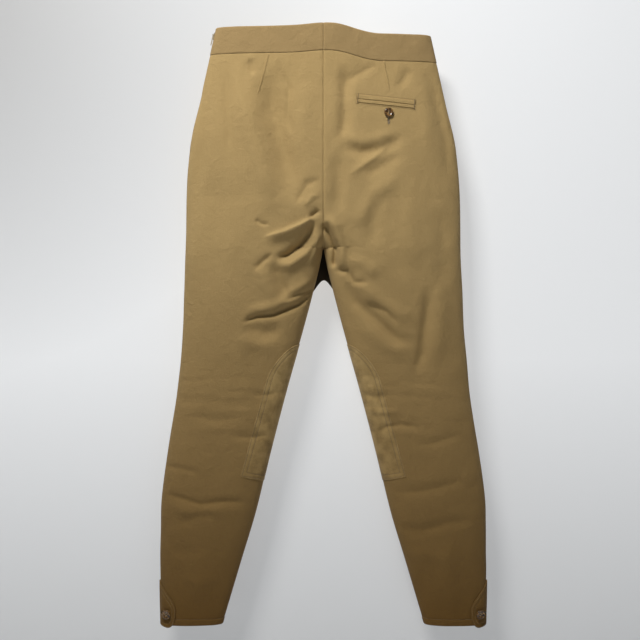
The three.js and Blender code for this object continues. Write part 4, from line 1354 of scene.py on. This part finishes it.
def lathe(profile, around=56):
    """Points and faces of a turned shape whose profile starts and ends on its axis."""
    points, faces = [(0, 0, profile[0][1])], []
    rings = profile[1:-1]
    for r, h in rings:
        points += [(r * math.cos(a), r * math.sin(a), h)
                   for a in np.linspace(0, 2 * math.pi, around, endpoint=False)]
    points.append((0, 0, profile[-1][1]))
    for i in range(around):
        j = (i + 1) % around
        faces.append((0, 1 + j, 1 + i))
        for k in range(len(rings) - 1):
            a, b = 1 + k * around, 1 + (k + 1) * around
            faces.append((a + i, a + j, b + j, b + i))
        last = 1 + (len(rings) - 1) * around
        faces.append((last + i, last + j, len(points) - 1))
    return np.array(points, float), faces


def placed(points, at, normal):
    """Millimetre points stood on a place along its normal, in metres."""
    turn = Vector((0, 0, 1)).rotation_difference(Vector(normal)).to_matrix()
    return np.array([tuple(turn @ Vector(p) + Vector(at)) for p in points]) * MM


def thread_arc(start, end, rise, radius=0.42, steps=9, around=7):
    """A short round thread from one hole to the next, over the button's face."""
    centres = [Vector(start).lerp(Vector(end), t) + Vector((0, 0, rise * math.sin(math.pi * t)))
               for t in np.linspace(0, 1, steps)]
    points, faces = [], []
    for i, c in enumerate(centres):
        tangent = (centres[min(i + 1, steps - 1)] - centres[max(i - 1, 0)]).normalized()
        flat = tangent.cross(Vector((0, 0, 1))).normalized()
        other = flat.cross(tangent)
        points += [c + flat * radius * math.cos(a) + other * radius * math.sin(a)
                   for a in np.linspace(0, 2 * math.pi, around, endpoint=False)]
    for i in range(steps - 1):
        for k in range(around):
            a, b = i * around + k, i * around + (k + 1) % around
            faces.append((a, b, b + around, a + around))
    faces.append(tuple(range(around))[::-1])
    faces.append(tuple((steps - 1) * around + k for k in range(around)))
    return [tuple(p) for p in points], faces


def sew_button(name):
    """A four-hole button on its joint's axis, with its threads and its thread shank."""
    joint = next(j for j in frame["joints"] if j["child"] == name)
    normal = Vector(joint["axis"]).normalized()
    r, thick, well, rim = BUTTON["r"], BUTTON["thick"], BUTTON["well"], BUTTON["rim"]
    profile = [(0, 0), (r - 2.4, 0), (r - 1.5, 0.1), (r - 0.6, 0.6), (r - 0.12, 1.2), (r, 1.6),
               (r - 0.05, 2.1), (r - 0.3, 2.6), (r - 0.8, 2.92), (r - 1.3, thick), (well + 1.3, thick - 0.06),
               (well + 0.8, thick - 0.16), (well + 0.3, thick - 0.5), (well - 0.2, thick - rim),
               (well - 1.0, thick - rim - 0.1),
               (1.0, thick - rim - 0.15), (0, thick - rim - 0.15)]
    points, faces = lathe(profile)
    offset = find_base(name)
    obj = make_mesh(f"{name}_horn", placed(points, offset, normal), faces, material=horn)
    drills = []
    holes = [(u * BUTTON["pitch"], v * BUTTON["pitch"]) for u, v in ((1, 1), (-1, 1), (-1, -1), (1, -1))]
    for u, v in holes:
        drill, drill_faces = lathe([(0, -1), (BUTTON["hole"], -1), (BUTTON["hole"], 5), (0, 5)], 18)
        drills.append(make_mesh("drill", placed(drill + np.array([u, v, 0]), offset, normal), drill_faces))
    shaved(obj, drills)
    obj.data.polygons.foreach_set("use_smooth", [True] * len(obj.data.polygons))
    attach(obj, name)
    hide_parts(name)
    face = thick - rim - 0.35
    points, faces = [], []
    for a, b in ((holes[0], holes[1]), (holes[2], holes[3])):
        for shift in (-0.35, 0.35):
            ends = [(u, v + shift, face - 0.8) for u, v in (a, b)]
            part, part_faces = thread_arc(*ends, 1.35)
            faces += [tuple(i + len(points) for i in f) for f in part_faces]
            points += part
    threads = make_mesh(f"{name}_threads", placed(points, offset, normal), faces, material=button_thread)
    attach(threads, name)
    low, top = (np.array(c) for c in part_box(f"{name}_shank"))
    centre = (low + top) / 2 / MM
    shank = [(0, -1), (0.75, -1), (0.85, -0.8), (0.62, -0.3), (0.58, 0.2), (0.68, 0.8), (0.8, 1), (0, 1)]
    points, faces = lathe([(r_, h * 0.8) for r_, h in shank], 18)
    obj = make_mesh(f"{name}_shank_thread", placed(points, centre, normal), faces, material=button_thread)
    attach(obj, "garment")
    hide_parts(f"{name}_shank")


def find_base(name):
    """The middle of a button's back, from its solid's box and its axis."""
    joint = next(j for j in frame["joints"] if j["child"] == name)
    normal = np.array(joint["axis"])
    low, top = (np.array(c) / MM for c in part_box(name))
    return (low + top) / 2 - normal * BUTTON["thick"] / 2


for button in ("pocket_button", "ankle_button_left", "ankle_button_right"):
    sew_button(button)

# ------------------------------------------------------------------ the side zip, its hook and its bar

for face in ("back", "front"):
    tape, area, flat = cloth_piece(f"zip_tape_{face}_cloth", 1, face,
                                   np.concatenate([[8], np.arange(12, 190, 4), [190]]),
                                   -1.35, 0.55, tape_cloth, 22, first=0.7, seamed=False)
    box_low, box_high = (np.array(c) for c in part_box(f"zip_coil_{face}"))
    top = np.array([box_low[0], 0, box_high[2]])
    foot = np.array([box_high[0], 0, box_low[2]])
    slope = (top - foot) / np.linalg.norm(top - foot)
    out = np.array([slope[2], 0, -slope[0]])
    line = np.linspace(top + slope * -0.0004, foot + slope * 0.0004, 40)
    line[:, 1] = (box_low[1] + box_high[1]) / 2
    centre_shift = np.array([box_low[0] + box_high[0], 0, box_low[2] + box_high[2]]) / 2 - line.mean(0)
    centre_shift[1] = 0
    teeth = bead_row(f"zip_teeth_{face}", [(line + centre_shift, np.tile(out, (40, 1)))], zip_metal, 1.25,
                     (1.35, 0.72, 1.3), turn=math.pi / 2)
    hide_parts(f"zip_coil_{face}")
    finish_cloth(tape, [f"zip_tape_{face}"])

for name in ("zip_slider", "zip_pull", "zip_stop", "waist_hook", "waist_bar"):
    for slot in frame["nodes"][name].material_slots:
        slot.material = zip_metal

# ------------------------------------------------------------------ camera, lights and the room

camera_data = bpy.data.cameras.new("camera")
camera_data.lens = 50
camera_data.sensor_width = 36
camera = new_object("camera", camera_data)
bpy.context.scene.camera = camera
camera.location = (0.0055, 1.449 + 0.02, -0.484)
camera.rotation_euler = (math.radians(90), 0, math.radians(180))
camera_data.clip_start = 0.01


def area_light(name, place, toward, size, energy, colour=(1, 1, 1)):
    data = bpy.data.lights.new(name, "AREA")
    data.shape = "RECTANGLE"
    data.size, data.size_y = size
    data.energy = energy
    data.color = colour
    light = new_object(name, data)
    light.location = place
    light.rotation_euler = (Vector(toward) - Vector(place)).to_track_quat("-Z", "Y").to_euler()


area_light("overhead_window", (0.50, 0.96, 1.12), (-0.02, 0, -0.6), (0.50, 0.28), 37.5, (1.0, 0.985, 0.96))
area_light("room_fill", (-0.6, 1.9, -0.1), (0, 0, -0.4), (0.9, 0.9), 1.3, (0.97, 0.98, 1.0))
area_light("front_window", (0.25, -1.2, 0.85), (0, 0, -0.35), (0.9, 0.7), 12, (1.0, 0.99, 0.97))
area_light("front_fill", (-0.9, -1.7, -0.4), (0, 0, -0.6), (1.0, 1.2), 4, (0.97, 0.98, 1.0))


WALL_Y, FLOOR_Z = -0.05, -1.3


def wall_material():
    """A pale painted wall that is seen only from the room's side and casts no shadow. It glows with painted
    light, stronger away from the corner the overhead window lights, and the glow drops low down as painted
    shade darker towards the floor.
    """
    material, tree, shader = new_material("pale_wall_painted_glow", Roughness=0.85, Base_Color=(0.40, 0.405, 0.41, 1),
                                          Emission_Color=(0.80, 0.82, 0.84, 1))
    place = object_place(tree)
    lit_corner = node(tree, "ShaderNodeVectorMath", {0: place, 1: (0.75, WALL_Y, 0.25)},
                      operation="DISTANCE").outputs[1]
    height = node(tree, "ShaderNodeSeparateXYZ", {0: place}).outputs[2]
    away = node(tree, "ShaderNodeMapRange", {"Value": lit_corner, "From Min": 0.2, "From Max": 0.85,
                                             "To Min": 0.0, "To Max": 0.60}).outputs[0]
    painted_shade_low_down = node(tree, "ShaderNodeMapRange", {"Value": height, "From Min": -0.55, "From Max": -1.05,
                                                 "To Min": 0.0, "To Max": 0.30}).outputs[0]
    # painted light: the wall glows more away from its lit corner, and less low down as painted shade
    tree.links.new(maths(tree, "SUBTRACT", away, painted_shade_low_down), shader.inputs["Emission Strength"])
    clear = tree.nodes.new("ShaderNodeBsdfTransparent")
    behind = node(tree, "ShaderNodeNewGeometry").outputs["Backfacing"]
    shadow = node(tree, "ShaderNodeLightPath").outputs["Is Shadow Ray"]
    mix = node(tree, "ShaderNodeMixShader", {0: maths(tree, "MAXIMUM", behind, shadow)})
    tree.links.new(shader.outputs[0], mix.inputs[1])
    tree.links.new(clear.outputs[0], mix.inputs[2])
    tree.links.new(mix.outputs[0], tree.nodes["Material Output"].inputs[0])
    return material


wall_corners = [(x, WALL_Y, z) for x, z in ((-3, FLOOR_Z), (3, FLOOR_Z), (3, 1.2), (-3, 1.2))]
wall = make_mesh("room_wall", wall_corners, [(3, 2, 1, 0)], material=wall_material(), smooth=False)
floor_corners = [(x, y, FLOOR_Z) for x, y in ((-4, -4), (4, -4), (4, 4), (-4, 4))]
pale_floor = new_material("pale_floor", Roughness=0.7, Base_Color=(0.76, 0.765, 0.77, 1))[0]
floor = make_mesh("room_floor", floor_corners, [(0, 1, 2, 3)], material=pale_floor, smooth=False)
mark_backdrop(wall, floor)

world = bpy.data.worlds.new("room_light")
bpy.context.scene.world = world
world.use_nodes = True
sky = world.node_tree.nodes["Background"]
sky.inputs[0].default_value = (0.86, 0.88, 0.9, 1)
seen = node(world.node_tree, "ShaderNodeLightPath").outputs["Is Camera Ray"]
strength = node(world.node_tree, "ShaderNodeMapRange",
                {"Value": seen, "To Min": 0.06, "To Max": 0.80}).outputs[0]
world.node_tree.links.new(strength, sky.inputs[1])
bpy.context.scene.view_settings.view_transform = "Standard"

low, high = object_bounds()
